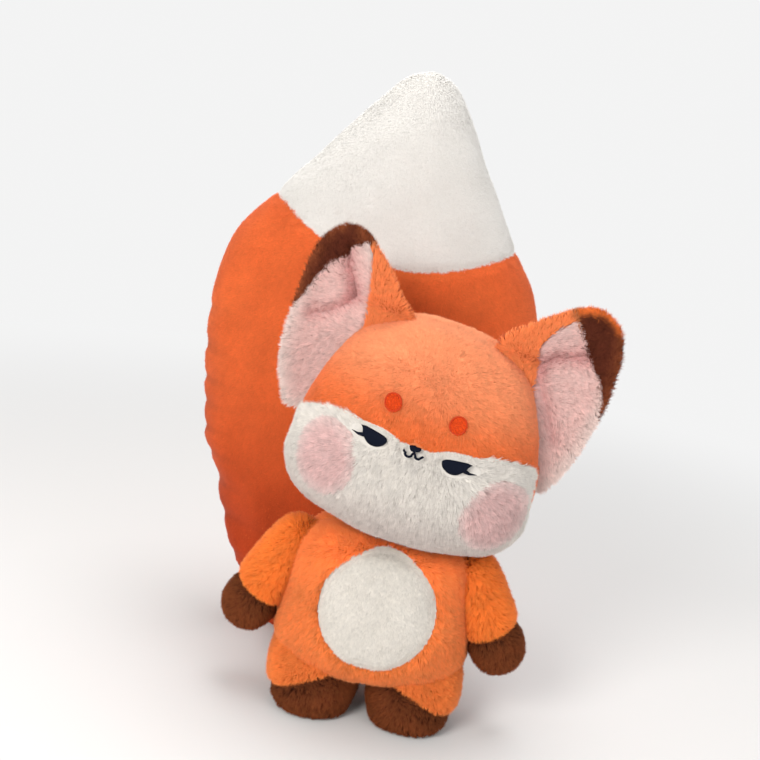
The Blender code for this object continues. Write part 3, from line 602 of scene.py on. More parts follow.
def outline_distance(points, outline, closed=True):
    """Distance in the plane to an outline, below zero inside it."""
    outline = np.array(outline, float)
    ends = np.roll(outline, -1, axis=0) if closed else outline[1:]
    starts = outline if closed else outline[:-1]
    best = np.full(len(points), 1e9)
    inside = np.zeros(len(points), bool)
    for a, b in zip(starts, ends):
        run = b - a
        t = np.clip((points - a) @ run / (run @ run), 0.0, 1.0)
        best = np.minimum(best, np.linalg.norm(points - a - t[:, None] * run, axis=1))
        crosses = (a[1] > points[:, 1]) != (b[1] > points[:, 1])
        with np.errstate(divide="ignore", invalid="ignore"):
            at = a[0] + (points[:, 1] - a[1]) * run[0] / run[1]
        inside ^= crosses & (points[:, 0] < at)
    return np.where(inside, -best, best) if closed else best


def face_seam(p):
    """Above zero on the forehead, below it on the white face, about metres from the seam."""
    flat = columns(np.abs(p[:, 0]), p[:, 2])
    gaps = []
    for seam in (np.array(FACE_SEAM), np.array(FACE_SEAM_RIGHT)):
        gap = outline_distance(flat, seam, closed=False)
        gaps.append(np.where(flat[:, 1] > np.interp(flat[:, 0], seam[:, 0], seam[:, 1]), gap, -gap))
    return np.where(p[:, 0] > 0.0, *gaps)


def make_head():
    local, tris = form(HEAD_SECTIONS, 7, 120)
    normals = vertex_normals(local, tris)
    front = local[:, 1] < SIDE_SEAM_Y
    lift = -INSET + 0.0012 * waves(local, 0.06, 11)
    lift += np.where(front, groove(face_seam(local), 0.0020, 0.0030), 0.0)
    lift += (groove(local[:, 1] - SIDE_SEAM_Y, 0.0015, 0.004)
             * (local[:, 2] > -0.09) * (local[:, 2] < 0.06))
    lift -= 0.0040 * smooth_step(local[:, 0], 0.070, 0.110) * smooth_step(local[:, 2], -0.020, 0.030)
    local = local + normals * lift[:, None]
    crest = groove(outline_distance(level(local), CREST, False), -CREST_HEIGHT, CREST_WIDTH)
    local = local + normals * (front * crest)[:, None]
    strip = (smooth_step(local[:, 2], -0.070, -0.010) * smooth_step(0.02 - local[:, 2], 0.0, 0.02)
             * (local[:, 0] > 0))
    back, ahead = split(local, tris, local[:, 1] - SIDE_SEAM_Y + STRIP_DEPTH * strip)
    forehead, face = split(*ahead, face_seam(ahead[0]))
    patches, face = split(*face, -cheeks(face[0]))
    patch_left, patch_right = split(*patches, patches[0][:, 0])
    pink = cloth("cheek_cloth", PINK, 0.85)
    for name, mesh, mat, slot, nodes in (
            ("head_forehead", forehead, cloth("forehead_cloth", FOREHEAD, 0.92), "forehead_fur",
             ["head_forehead"]),
            ("head_back", back, cloth("head_cloth", FOREHEAD, 0.85), "head_fur",
             ["head_back", "head_stuffing"]),
            ("head_face", face, cloth("face_cloth", WHITE, 0.95), "face_fur", ["head_face"]),
            ("cheek_left", patch_left, pink, "cheek_fur", ["cheek_patch_left"]),
            ("cheek_right", patch_right, pink, "cheek_fur", ["cheek_patch_right"])):
        skin(name + "_skin", placed(mesh, HEAD_FRAME), mat, "head", nodes)

    def trimmed(p):
        """How far outside the embroidery a root is, and how long its strand may be there."""
        areas = [ellipse(p, *area) for area in (EYE_AREA, LASH_AREA, NOSE_AREA, MOUTH_AREA)]
        d = np.minimum.reduce([*areas, brow_spots(p)])
        above = np.minimum(ellipse(p - [0, 0, 0.006], *EYE_AREA), ellipse(p - [0, 0, 0.004], *NOSE_AREA))
        d, above = (np.where(p[:, 1] > 0.0, 1.0, v) for v in (d, above))
        return d, smooth_step(np.minimum(d, above), 0.0, 0.007)

    def grow(name, mesh, per_cm2, length, width, colour, comb, slot, lean, **more):
        p, n = scatter(*mesh, per_cm2)
        inside, scale = trimmed(p)
        keep = inside > 0.0006
        p, n, scale = p[keep], n[keep], scale[keep]
        near = 1.0
        if mesh is forehead or mesh is face:
            near = smooth_step(np.abs(face_seam(p)), 0.0, 0.004)
        if mesh is face:
            near = np.maximum(near, smooth_step(np.abs(p[:, 0]), 0.035, 0.060))
        crown = smooth_step(p[:, 2], 0.050, 0.085) * smooth_step(p[:, 1], -0.030, 0.0)
        size = length * (0.28 + 0.72 * scale) * (0.65 + 0.35 * near) * (1.0 + 0.45 * crown)
        fur(name, "head", p, n, comb(p), size, width, colour(p), slot, frame=HEAD_FRAME,
            lean=[a - 12.0 * crown for a in lean], **more)

    def face_comb(p):
        """Down the muzzle; over the cheeks it turns outwards and then up towards the orange."""
        side = smooth_step(np.abs(p[:, 0]), 0.030, 0.070)
        turn = side * smooth_step(p[:, 2], -0.050, 0.016) * 2.0 + waves(p, 0.05, 3) * 0.25
        out = np.sign(p[:, 0]) * (np.sin(turn) + np.minimum(np.abs(p[:, 0]) * 4.0, 0.3))
        return unit(columns(out, 0.0, -np.cos(turn)))

    def top_comb(p):
        """Down the forehead, and to the back over the crown, a little outwards at the sides."""
        return wander(columns(p[:, 0] * 5.0, 0.5, -0.9), p, 0.08, 4, [0.45, 0.0, 0.0])

    def cheek_colour(p):
        """Paler towards the rim, where white strands mix in."""
        return uneven(mix(PINK, WHITE, 0.35 * smooth_step(cheeks(p), -0.012, 0.0)), 0.05, p, 0.02, 9)

    def forehead_colour(p):
        """Painted light makes it palest on top of the head; lower down towards the seam a deeper orange is
        painted shade, and the back of the head has that deeper orange too.
        """
        low = np.maximum(smooth_step(-p[:, 2], -0.080, -0.005), smooth_step(p[:, 1], 0.02, 0.07))
        crown = smooth_step(p[:, 2], 0.030, 0.088) * (1.0 - smooth_step(p[:, 1], 0.05, 0.10))
        return uneven(mix(mix(FOREHEAD, SEAM_ORANGE, low), CROWN_PAINTED_LIGHT, crown), 0.05, p, 0.025, 10)

    def white(p):
        """Duller under the chin, as painted shade."""
        low = smooth_step(-p[:, 2], 0.025, 0.085)[:, None] * (0.23, 0.29, 0.29)
        return np.array(WHITE) * (1.0 - low + 0.04 * waves(p, 0.03, 8)[:, None])

    grow("face_fur", face, 210, 0.0100, 0.00055, white, face_comb, "face_fur", root_shade=0.78, vary=0.06,
         gather=0.32, lean=(44, 68), frost=0.0)
    for side, patch in (("left", patch_left), ("right", patch_right)):
        grow(f"cheek_{side}_fur", patch, 210, 0.0095, 0.00055, cheek_colour, face_comb, "cheek_fur",
             root_shade=0.76, vary=0.09, gather=0.36, lean=(44, 68), frost=0.15)
    grow("forehead_fur", forehead, 210, 0.0065, 0.00055, forehead_colour, top_comb, "forehead_fur",
         root_shade=0.83, vary=0.06, gather=0.28, lean=(52, 76), spread=0.25, tip_colour=ORANGE_TIP,
         frost=0.2)
    grow("head_back_fur", back, 130, 0.0080, 0.0008, forehead_colour, top_comb, "head_fur", lean=(40, 70),
         root_shade=0.9, tip_colour=ORANGE_TIP, frost=0.2)
    make_embroidery(BVHTree.FromPolygons([Vector(v) for v in local], tris.tolist()))


def face_hit(tree, x, z):
    """Where a line from the front meets the face, and the face's normal there."""
    return tree.ray_cast(Vector((x, -0.3, z)), Vector((0.0, 1.0, 0.0)))[:2]


def on_face(tree, x, z, out):
    hit, normal = face_hit(tree, x, z)
    return hit + normal * (INSET + out)


def satin(name, tree, outline, mat, node, pitch=0.0006, angle=0.0, out=0.0010, swell=0.0012,
          sink=0.0022):
    """Parallel stitches that fill an outline, each a low ridge, over a slightly domed pad."""
    turn = np.array([[math.cos(angle), math.sin(angle)], [-math.sin(angle), math.cos(angle)]])
    flat = np.array(outline) @ turn.T
    low, high = flat[:, 0].min(), flat[:, 0].max()
    count = max(3, int((high - low) / pitch))
    across, along = 4, 9
    rows = []
    for k in range(count * across + 1):
        x = low + (high - low) * (k + 0.001) / (count * across + 0.002)
        cuts = []
        for a, b in zip(flat, np.roll(flat, -1, axis=0)):
            if (a[0] > x) != (b[0] > x):
                cuts.append(a[1] + (x - a[0]) * (b[1] - a[1]) / (b[0] - a[0]))
        if len(cuts) < 2:
            continue
        bottom, top = min(cuts), max(cuts)
        ridge = abs(math.sin(math.pi * k / across)) ** 0.7 * pitch * 0.5
        row = []
        for j in range(along):
            t = j / (along - 1)
            z = bottom + (top - bottom) * t
            edge = math.sqrt(max(0.0, 1.0 - (2.0 * t - 1.0) ** 2))
            ends = math.sqrt(max(0.0, min(1.0, (x - low) / 0.002, (high - x) / 0.002)))
            rise = out - sink * (1.0 - edge) + (swell * edge + ridge) * ends
            px, pz = np.array([x, z]) @ turn
            row.append(on_face(tree, px, pz, rise))
        rows.append(row)
    verts = np.array(rows).reshape(-1, 3)
    tris = []
    for k in range(len(rows) - 1):
        for j in range(along - 1):
            a, b = k * along + j, (k + 1) * along + j
            tris += [[a, b, b + 1], [a, b + 1, a + 1]]
    tris = np.array(tris)
    if np.cross(verts[tris[0, 1]] - verts[tris[0, 0]], verts[tris[0, 2]] - verts[tris[0, 0]])[1] > 0.0:
        tris = tris[:, ::-1]
    obj = make_object(name, moved(verts, HEAD_FRAME), tris, mat, "head")
    if node:
        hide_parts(node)


def stitched_line(name, tree, path, mat, node=None, radius=0.0012, out=0.0026):
    points = moved(np.array([on_face(tree, x, z, out) for x, z in path]), HEAD_FRAME)
    line = tube(name, points, radius, mat, "head")
    if node:
        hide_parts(node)


def make_embroidery(tree):
    navy = thread("navy_thread", NAVY)
    spot = thread("brow_thread", SPOT)
    rim = thread("brow_rim_thread", SPOT_RIM)
    eye = closed_curve([(-0.0118, 0.0030), (-0.0125, 0.0005), (-0.0098, -0.0035), (-0.0040, -0.0062),
                        (0.0030, -0.0058), (0.0085, -0.0015), (0.0098, 0.0020), (0.0115, 0.0063),
                        (0.0040, 0.0064), (-0.0070, 0.0050)], 4)
    upper = [(0.0080, 0.0030), (0.0104, 0.0028), (0.0135, 0.0062), (0.0100, 0.0064)]
    lower = [(0.0070, 0.0022), (0.0085, -0.0022), (0.0130, -0.0026), (0.0198, -0.0006), (0.0140, -0.0004)]
    for side, s in SIDES:
        for name, points, node in ((f"eye_{side}_stitches", eye, "eye_" + side),
                                   (f"lash_{side}_upper", upper, None),
                                   (f"lash_{side}_lower", lower, None)):
            at = [(s * (EYE_CENTRE[0] + x * 1.04), EYE_CENTRE[1] + z * 1.10) for x, z in points]
            satin(name, tree, at, navy, node, angle=-0.35 * s,
                  swell=0.0012 if node else 0.0008)
        make_brow_spot(tree, side, s, spot, rim)
    nose = [(-0.0052, 0.0008), (-0.0050, -0.0012), (-0.0026, -0.0032), (0.0, -0.0038), (0.0030, -0.0026),
            (0.0050, 0.0004), (0.0044, 0.0024), (-0.0002, 0.0022)]
    outline = closed_curve(nose, 4) + NOSE_CENTRE
    satin("nose_stitches", tree, outline, navy, "nose", out=0.0014, swell=0.0022)
    curls = [(-0.0082, 0.0044), (-0.0079, 0.0025), (-0.0060, 0.0007), (-0.0032, 0.0005), (-0.0008, 0.0021),
             (0.0007, 0.0034), (0.0022, 0.0020), (0.0048, 0.0010), (0.0078, 0.0022), (0.0094, 0.0044),
             (0.0092, 0.0062)]
    stitched_line("mouth_stitches", tree, closed_curve(curls, 5)[:-9], navy, "mouth")
    stem = [(0.0002 * k, NOSE_CENTRE[1] - 0.002 - 0.0009 * k) for k in range(5)]
    stitched_line("mouth_stem", tree, stem, navy)


def circle(centre, radius, turn):
    return columns(centre[0] + radius * np.cos(turn), centre[1] + radius * np.sin(turn))


def make_brow_spot(tree, side, s, spot, rim):
    """A pad of thread, short pile in rows over it, and a darker stitched rim."""
    centre, edge = brow_place(s), BROW_RADIUS - 0.0006
    disc = circle(centre, BROW_RADIUS, 2.0 * np.pi * np.arange(40) / 40)
    satin(f"brow_{side}_stitches", tree, disc, spot, "brow_spot_" + side, angle=0.5 * s,
          pitch=0.0009, out=-0.0016, swell=0.0003, sink=0.0003)
    turn, reach = RNG.uniform(0, 2 * np.pi, 900), np.sqrt(RNG.random(900)) * edge
    p = np.array([on_face(tree, *at, -0.0012) for at in circle(centre, reach, turn)])
    n = np.array([face_hit(tree, q[0], q[2])[1] for q in p])
    rows = np.abs(np.sin((p[:, 0] * 0.8 - p[:, 2]) * 2800.0))
    fur(f"brow_{side}_pile", "head", p, n, np.full(p.shape, (0.6, 0.0, -0.8)), 0.0028, 0.0006,
        mix(SPOT_RIM, SPOT, rows), "brow_thread", fur_material("brow_pile", sheen=0.0), HEAD_FRAME,
        lean=(55, 75), clump=0, spread=0.15, root_shade=0.75, vary=0.14, frost=0.0)
    ring = circle(centre, edge, 2.0 * np.pi * np.arange(49) / 48)
    stitched_line(f"brow_{side}_rim", tree, ring, rim, radius=0.0007, out=-0.0004)


def tube(name, path, radius, mat, body, sides=8):
    rings = []
    for k, point in enumerate(path):
        way = unit(path[min(k + 1, len(path) - 1)] - path[max(k - 1, 0)])
        across = unit(np.cross(way, [0.0, 1.0, 0.0]))
        over = np.cross(way, across)
        taper = 0.0 if k in (0, len(path) - 1) else radius * (1.0 + 0.12 * math.sin(k * 2.1))
        turn = 2.0 * np.pi * np.arange(sides) / sides
        rings.append(point + taper * (np.cos(turn)[:, None] * across + np.sin(turn)[:, None] * over))
    verts, tris = rings_to_mesh(rings)
    return make_object(name, verts, tris, mat, body)


def ear_surface(side):
    """Rings of the cupped plate from the front's middle over the rim to the back's middle."""
    outline = closed_curve(EAR_OUTLINES[side], 8)
    spreads = np.concatenate([[0.0], np.linspace(0.08, 0.9, 22), [0.94, 0.97, 0.99, 1.0]])
    rings = []
    for front in (True, False):
        for spread in spreads if front else spreads[-2::-1]:
            half = EAR_HALF_THICKNESS * math.sqrt(max(0.0, 1.0 - spread ** 6))
            y = EAR_CUP * (1.0 - spread ** 2) + (-half if front else half)
            flat = EAR_CENTRE + (outline - EAR_CENTRE) * spread
            rings.append(columns(flat[:, 0], y, flat[:, 1]))
    verts, tris = rings_to_mesh(rings)
    if np.sum(vertex_normals(verts, tris)[0] * [0, -1, 0]) < 0:
        tris = tris[:, ::-1]
    return verts - vertex_normals(verts, tris) * INSET, tris


def make_ear(side, s):
    body = "ear_" + side
    local, tris = ear_surface(side)
    normals = vertex_normals(local, tris)
    front = normals[:, 1] < -0.2
    folds = [(closed_curve(line, 6)[:-5], depth) for line, depth in EAR_FOLDS[side]]
    lift = np.zeros(len(local))
    for line, depth in folds:
        lift += groove(outline_distance(level(local), line, False), depth, 0.0045)
    flap_line = folds[0][0]
    if side == "left":
        above = local[:, 2] - np.interp(local[:, 0], flap_line[:, 0], flap_line[:, 1])
        flap = smooth_step(above, 0.0, 0.007) * smooth_step(0.128 - local[:, 0], -0.004, 0.008)
    else:
        order = np.argsort(flap_line[:, 1])
        edge = np.interp(local[:, 2], flap_line[order, 1], flap_line[order, 0])
        flap = smooth_step(edge - local[:, 0], 0.0, 0.006) * smooth_step(local[:, 2], 0.100, 0.114)
    local = local + normals * np.where(front, lift + 0.0030 * flap, 0.0)[:, None]
    place = HEAD_FRAME @ np.diag([s, 1.0, 1.0, 1.0])
    rim = closed_curve(EAR_OUTLINES[side], 4)
    tip_line, lining_line = np.array(EAR_TIP_OUTLINES[side]), np.array(EAR_LINING_OUTLINES[side])
    lining_line[:, 0] += np.where((lining_line[:, 0] > 0.124) & (lining_line[:, 1] < 0.10), PAST_RIM, 0.0)
    lining_line[:, 1] -= np.where(lining_line[:, 1] < 0.0, PAST_RIM, 0.0)
    tip, rest = split(local, tris, -outline_distance(level(local), tip_line))
    facing = vertex_normals(*rest)[:, 1] < 0.0
    inside = -outline_distance(level(rest[0]), lining_line)
    lining, back = split(*rest, np.where(facing, inside, -np.abs(inside) - 1e-4))

    for mesh, name, colour, slot, dark in ((back, "_back", ORANGE, "ear_fur", 0.8),
                                           (lining, "_lining", LINING_PINK, "ear_lining_fur", 0.9),
                                           (tip, "_tip", DARK_BROWN, "ear_tip_fur", 0.72)):
        skin(body + name + "_skin", placed(mesh, place, s < 0), cloth(body + name + "_cloth", colour, dark),
             body, [body + name])

    def away(p):
        """Away from the middle of the line where the ear is sewn on."""
        way = unit(columns(p[:, 0] - EAR_ROOT[0], 0.0, p[:, 2] - EAR_ROOT[1]))
        return wander(way, p, 0.03, 21, [0.4, 0.0, 0.3])

    def grow(title, mesh, per_cm2, length, width, colour, slot, comb=away, sheen=0.12, **more):
        p, n = scatter(*mesh, per_cm2)
        name = body + title
        fur(name, body, p, n, comb(p), length, width, colour(p), slot, fur_material(name, sheen=sheen),
            place, **more)

    def back_colour(p):
        near = smooth_step(outline_distance(level(p), tip_line), 0.0, 0.007)
        outer = smooth_step(p[:, 0], 0.105, 0.120) * smooth_step(-p[:, 2], -0.095, -0.080)
        pale = outer * smooth_step(outline_distance(level(p), rim), -0.014, -0.006)
        return mix(mix(FRINGE, EAR_ORANGE, near), PALE_PINK, pale)

    def lining_colour(p):
        """Painted shade in the folds, pale towards the rim."""
        deep = sum(depth * np.exp(-(outline_distance(level(p), line, False) / 0.008) ** 2)
                   for line, depth in folds) / 0.0035
        pale = smooth_step(outline_distance(level(p), rim), -0.022, -0.002) * 0.5
        # Painted shade darkens the pink along the folds
        painted_fold_shade = np.clip(deep, 0.0, 1.0)[:, None] * (0.16, 0.46, 0.44)
        return mix(LINING_PINK, WHITE, pale) * (1.0 - painted_fold_shade)

    def lining_comb(p):
        """Out of the ear to the side, downwards below."""
        return wander(columns(0.8, 0.0, (p[:, 2] - 0.08) * 12.0), p, 0.03, 22, [0.3, 0.0, 0.5])

    def tip_colour(p):
        """Nearly black by the lining, lighter towards the rim, orange where the top curls over."""
        edge = outline_distance(level(p), rim)
        light = smooth_step(edge, -0.015, 0.0) * np.clip(0.8 + 0.5 * waves(p, 0.012, 23), 0, 1)
        base = mix(DARK_BROWN, FRINGE, light)
        if side == "left":
            top = smooth_step(edge, -0.010, -0.005) * smooth_step(p[:, 2], 0.150, 0.162) * (p[:, 0] < 0.150)
            base = mix(base, ORANGE, top)
        return base

    grow("_back_fur", back, 180, 0.0090, 0.0008, back_colour, "ear_fur", lean=(38, 66), clump=11,
         gather=0.32, root_shade=0.86, tip_colour=ORANGE_TIP, frost=0.28)
    grow("_lining_fur", lining, 200, 0.0085, 0.0006, lining_colour, "ear_lining_fur", lining_comb,
         root_shade=0.70, vary=0.08, lean=(50, 74), clump=12, gather=0.42, tip_colour=WHITE, frost=0.35)
    grow("_tip_fur", tip, 190, 0.0090, 0.0006, tip_colour, "ear_tip_fur", sheen=0.0, spread=0.6,
         root_shade=0.62, vary=0.16, frost=0.25, tip_colour=FRINGE)


def make_torso():
    local, tris = form(TORSO_SECTIONS, 7, 110)
    normals = vertex_normals(local, tris)
    front = local[:, 1] < 0.0
    rim = ellipse(local, BELLY_CENTRE, BELLY_HALF, False)
    lift = -INSET + 0.0012 * waves(local, 0.05, 31)
    lift += np.where(front, groove(rim, 0.0018, 0.0030), 0.0)
    below = smooth_step(BELLY_CENTRE[1] - 0.035 - local[:, 2], 0.0, 0.02)
    lift += np.where(front, groove(local[:, 0], 0.0022, 0.004) * below, 0.0)
    lift += groove(local[:, 1], 0.0018, 0.004)
    local = local + normals * lift[:, None]
    back, ahead = split(local, tris, local[:, 1])
    belly, ahead = split(*ahead, -ellipse(ahead[0], BELLY_CENTRE, BELLY_HALF, False))
    orange, white = cloth("torso_cloth", ORANGE), cloth("belly_cloth", BELLY_WHITE, 0.95)
    skin("torso_back_skin", back, orange, "torso", ["torso_back", "torso_stuffing"])
    skin("torso_front_skin", ahead, orange, "torso", ["torso_front"])
    skin("belly_skin", belly, white, "torso", ["belly_panel"])

    def comb(p):
        return wander(columns(p[:, 0] * 4.0, p[:, 1] * 2.0, -1.0), p, 0.04, 33, [0.45, 0.2, 0.2])

    mat = fur_material("torso_fur")
    for name, mesh, per_cm2, width in (("torso_front_fur", ahead, 190, 0.0008),
                                       ("torso_back_fur", back, 80, 0.0010)):
        p, n = scatter(*mesh, per_cm2)
        near = smooth_step(ellipse(p, BELLY_CENTRE, BELLY_HALF, False), 0.0, 0.005)
        # The orange gets lighter towards the top of the torso: painted light against the shadow under the
        # head
        high = smooth_step(p[:, 2], 0.120, 0.175)
        colour = np.array(ORANGE) * (1.0 + 0.06 * waves(p, 0.03, 34) + 0.24 * high)[:, None]
        fur(name, "torso", p, n, comb(p), 0.0105 * (0.55 + 0.45 * near), width, colour, "torso_fur", mat,
            lean=(32, 64), clump=11, gather=0.36 - 0.20 * high, root_shade=0.78, vary=0.09,
            tip_colour=ORANGE_TIP, frost=0.3)
    p, n = scatter(*belly, 240)
    fur("belly_fur", "torso", p, n, comb(p), 0.0036, 0.0006, BELLY_WHITE, "belly_fur", lean=(55, 70),
        clump=8, gather=0.2, root_shade=0.88, vary=0.045)


def limb(body, mesh, place, cut_value, comb, parts, ends, mirrored):
    """A limb's skin and fur above and below its seam. The upper part is left unattached to any body."""
    for k, (half, part) in enumerate(zip(split(*mesh, cut_value), parts)):
        name, colour, slot, nodes, look = part
        world = placed(half, place, mirrored)
        edges = np.sort(np.vstack([half[1][:, [0, 1]], half[1][:, [1, 2]], half[1][:, [2, 0]]]), axis=1)
        every, times = np.unique(edges, axis=0, return_counts=True)
        rim = np.unique(every[times == 1])
        bend = ("torso", *ends) if k == 0 else None
        skin(name + "_skin", world, cloth(name + "_cloth", colour), body, nodes, bend=bend)
        p, n = scatter(*world, 170)
        away = nearest(p, world[0][rim])[1]
        tone = uneven(colour, 0.06, p, 0.025, 44)
        # Paws and feet darker next to their seam: painted shadow under the overhanging fur above
        if k:
            tone *= 0.5 + 0.7 * smooth_step(away, 0.0, 0.022)[:, None]
        length = (0.0100 if k else 0.0118) * (0.6 + 0.4 * smooth_step(away, 0.0, 0.010))
        mat = fur_material(name + "_fur", sheen=0.0 if k else 0.12)
        fur(name + "_fur", body, p, n, comb(p), length, 0.0009, tone, slot, mat, bend=bend,
            lean=(24, 56), spread=0.5, clump=11, gather=0.38, **look)


LIMB_LOOK = {"root_shade": 0.88, "frost": 0.3, "tip_colour": (1.0, 0.38, 0.11)}
PAW_LOOK = {"vary": 0.20, "root_shade": 0.45, "frost": 0.45, "tip_colour": BROWN_TIP}


def make_arm(side, s):
    body = "arm_" + side
    verts, tris = form(ARM_SECTIONS, 7, 64)
    turn = (SHOULDER - ARM_TIP).normalized().to_track_quat("Z", "Y").to_matrix().to_4x4()
    place = np.diag([s, 1.0, 1.0, 1.0]) @ np.array(Matrix.Translation(ARM_TIP) @ turn)
    seam = verts[:, 2] - ARM_PAW_LENGTH - 0.005
    lift = -INSET + 0.0010 * waves(verts, 0.035, 41) + groove(seam, 0.0020, 0.003)
    verts = verts + vertex_normals(verts, tris) * lift[:, None]
    down = place[:3, :3] @ np.array([0.0, 0.0, -1.0])
    shoulder = np.array((s * SHOULDER.x, SHOULDER.y, SHOULDER.z))
    reach = unit(np.array((s * (ARM_TIP.x - SHOULDER.x), 0.0, ARM_TIP.z - SHOULDER.z)))
    limb(body, (verts, tris), place, seam, lambda p: wander(down, p, 0.03, 43, [0.35, 0.3, 0.1]),
         ((body, LIMB_ORANGE, "sleeve_fur", [body + "_sleeve", body + "_stuffing"], LIMB_LOOK),
          ("paw_" + side, BROWN, "paw_fur", ["paw_" + side], PAW_LOOK)),
         (shoulder - reach * 0.016, shoulder + reach * 0.018), s < 0)


def make_leg(side, s):
    body = "leg_" + side
    verts, tris = form(LEG_SECTIONS, 7, 72)
    place = np.diag([s, 1.0, 1.0, 1.0]) @ np.array(Matrix.Translation((LEG_CENTRE_X, 0.0, 0.0)))

    def seam(v):
        return v[:, 2] - FOOT_TOP - 0.003 + v[:, :2] @ FOOT_SEAM_SLOPE

    lift = -INSET + 0.0010 * waves(verts, 0.035, 51) + groove(seam(verts), 0.0020, 0.003)
    verts = verts + vertex_normals(verts, tris) * lift[:, None]
    verts[:, 2] = np.maximum(verts[:, 2], 0.0012)

    def comb(p):
        out = columns((p[:, 0] - s * LEG_CENTRE_X) * 12.0, (p[:, 1] + 0.02) * 8.0, -1.0)
        return wander(out, p, 0.03, 53, [0.35, 0.3, 0.1])

    limb(body, (verts, tris), place, seam(verts), comb,
         ((body, ORANGE, "leg_fur", [body + "_upper", body + "_stuffing"], LIMB_LOOK),
          ("foot_" + side, BROWN, "foot_fur", ["foot_" + side], PAW_LOOK)),
         (np.array((s * LEG_CENTRE_X, -0.01, 0.066)), np.array((s * LEG_CENTRE_X, -0.01, 0.034))), s < 0)


def tip_side(v):
    """Above zero on the white tip."""
    return v[:, 2] - TIP_SEAM_HEIGHT - TIP_SEAM_RISE * (v[:, 0] / TIP_SEAM_HALF) ** 2


def rear_side(v):
    """Above zero behind the seam that runs round the tail's edge."""
    return v[:, 1] - TAIL_FOOT_Y - v[:, 2] * TAIL_SLOPE


def make_tail():
    sections = [(h, 0.0, TAIL_FOOT_Y + h * TAIL_SLOPE, w, t, 1.9) for h, w, t in TAIL_PROFILE]
    local, tris = form(sections, 8, 170)
    x, z = local[:, 0], local[:, 2]
    width = np.interp(z, [p[0] for p in TAIL_PROFILE], [p[1] for p in TAIL_PROFILE])
    from_edge = np.maximum(width - np.abs(x), 0.0)
    low = smooth_step(0.40 - z, 0.0, 0.12) * smooth_step(z, 0.02, 0.08)
    folds = np.sin(z * (2.0 * np.pi / 0.031) + 1.8 * np.sin(z * 31.0) + np.where(x > 0, 1.9, 0.0) + x * 9.0)
    pucker = np.maximum(0.0, folds) ** 1.6 * np.exp(-from_edge / 0.026) * low
    lumps = waves(local * [1.0, 1.0, 1.7], 0.085, 63)
    lumps *= smooth_step(0.30 - z, 0.0, 0.16) * np.exp(-from_edge / 0.06)
    lift = -0.0025 + 0.0030 * waves(local, 0.16, 61) + 0.0010 * waves(local, 0.05, 62)
    lift += 0.0045 * lumps - 0.0036 * pucker
    lift += groove(tip_side(local), 0.0026, 0.005) + groove(rear_side(local), 0.0030, 0.006)
    local = local + vertex_normals(local, tris) * lift[:, None]
    # Darker in the puckers: painted shade in the creases
    shade = 1.0 - 0.20 * pucker
    verts = moved(local, TAIL_FRAME)
    verts[:, 2] = np.maximum(verts[:, 2], 0.0008)
    local = moved(verts, np.linalg.inv(TAIL_FRAME))
    tip, base = split(local, tris, tip_side(local))
    pieces = []
    for mesh, title in ((tip, "tail_tip"), (base, "tail")):
        back, front = split(*mesh, rear_side(mesh[0]))
        pieces += [(title + "_front", front), (title + "_back", back)]
    cloths = {"tail_tip_fur": cloth("tail_tip_cloth", TIP_WHITE, 0.97),
              "tail_fur": cloth("tail_cloth", TAIL_ORANGE, 0.95)}
    mats = {"tail_tip_fur": fur_material("tail_tip_fur", 0.85, 0.12),
            "tail_fur": fur_material("tail_fur", 0.85, 0.2)}
    for name, mesh in pieces:
        slot = "tail_tip_fur" if "tip" in name else "tail_fur"
        nodes = [name, "tail_stuffing"] if name == "tail_front" else [name]
        skin(name + "_skin", placed(mesh, TAIL_FRAME), cloths[slot], "tail", nodes)
        p, n = scatter(*mesh, 190 if "front" in name else 60)
        colour = TIP_WHITE
        if slot == "tail_fur":
            tone = 1.0 + 0.05 * waves(p, 0.05, 66) + 0.03 * waves(p, 0.012, 67)
            tone *= shade[nearest(p, local)[0]]
            # Darker towards the bottom of the tail: painted shade
            colour = mix(LOW_TAIL_PAINTED_SHADE, TAIL_ORANGE, smooth_step(p[:, 2], 0.05, 0.36)) * tone[:, None]
        comb = wander([0.0, 0.0, -1.0], p, 0.07, 65, [0.7, 0.0, 0.3])
        fur(name + "_fur", "tail", p, n, comb, 0.0042, 0.0010, colour, slot, mats[slot], TAIL_FRAME,
            lean=(68, 68), clump=0, spread=0.5, root_shade=0.90, vary=0.10 if slot == "tail_fur" else 0.03,
            soft=0.9, frost=0.0, limit=180000)


def make_hidden_balls():
    for node, body, colour, slot in (("neck_stuffing", "neck", ORANGE, "neck_fabric"),
                                     ("tail_root", "tail_root", TAIL_ORANGE, "root_fabric")):
        low, high = (np.array(v) - FOX_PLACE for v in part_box(node))
        centre, radius = (low + high) / 2.0, (high - low)[0] / 2.0
        turn = 2.0 * np.pi * np.arange(48) / 48
        rings = []
        for tilt in np.linspace(-math.pi / 2, math.pi / 2, 25):
            wide = math.cos(tilt) * (1.0 - 0.03 * np.cos(turn * 12) * math.cos(tilt))
            ring = columns(np.cos(turn) * wide, np.sin(turn) * wide, math.sin(tilt))
            rings.append(centre + ring * radius * 0.97)
        ball = rings_to_mesh(rings)
        skin(node + "_skin", ball, cloth(node + "_cloth", colour), body, [node])
        p, n = scatter(*ball, 90)
        back = np.full(p.shape, (0.0, 1.0, -0.3))
        fur(node + "_fur", body, p, n, back, 0.0045, 0.0009, colour, slot, clump=8)


# Camera, floor and light

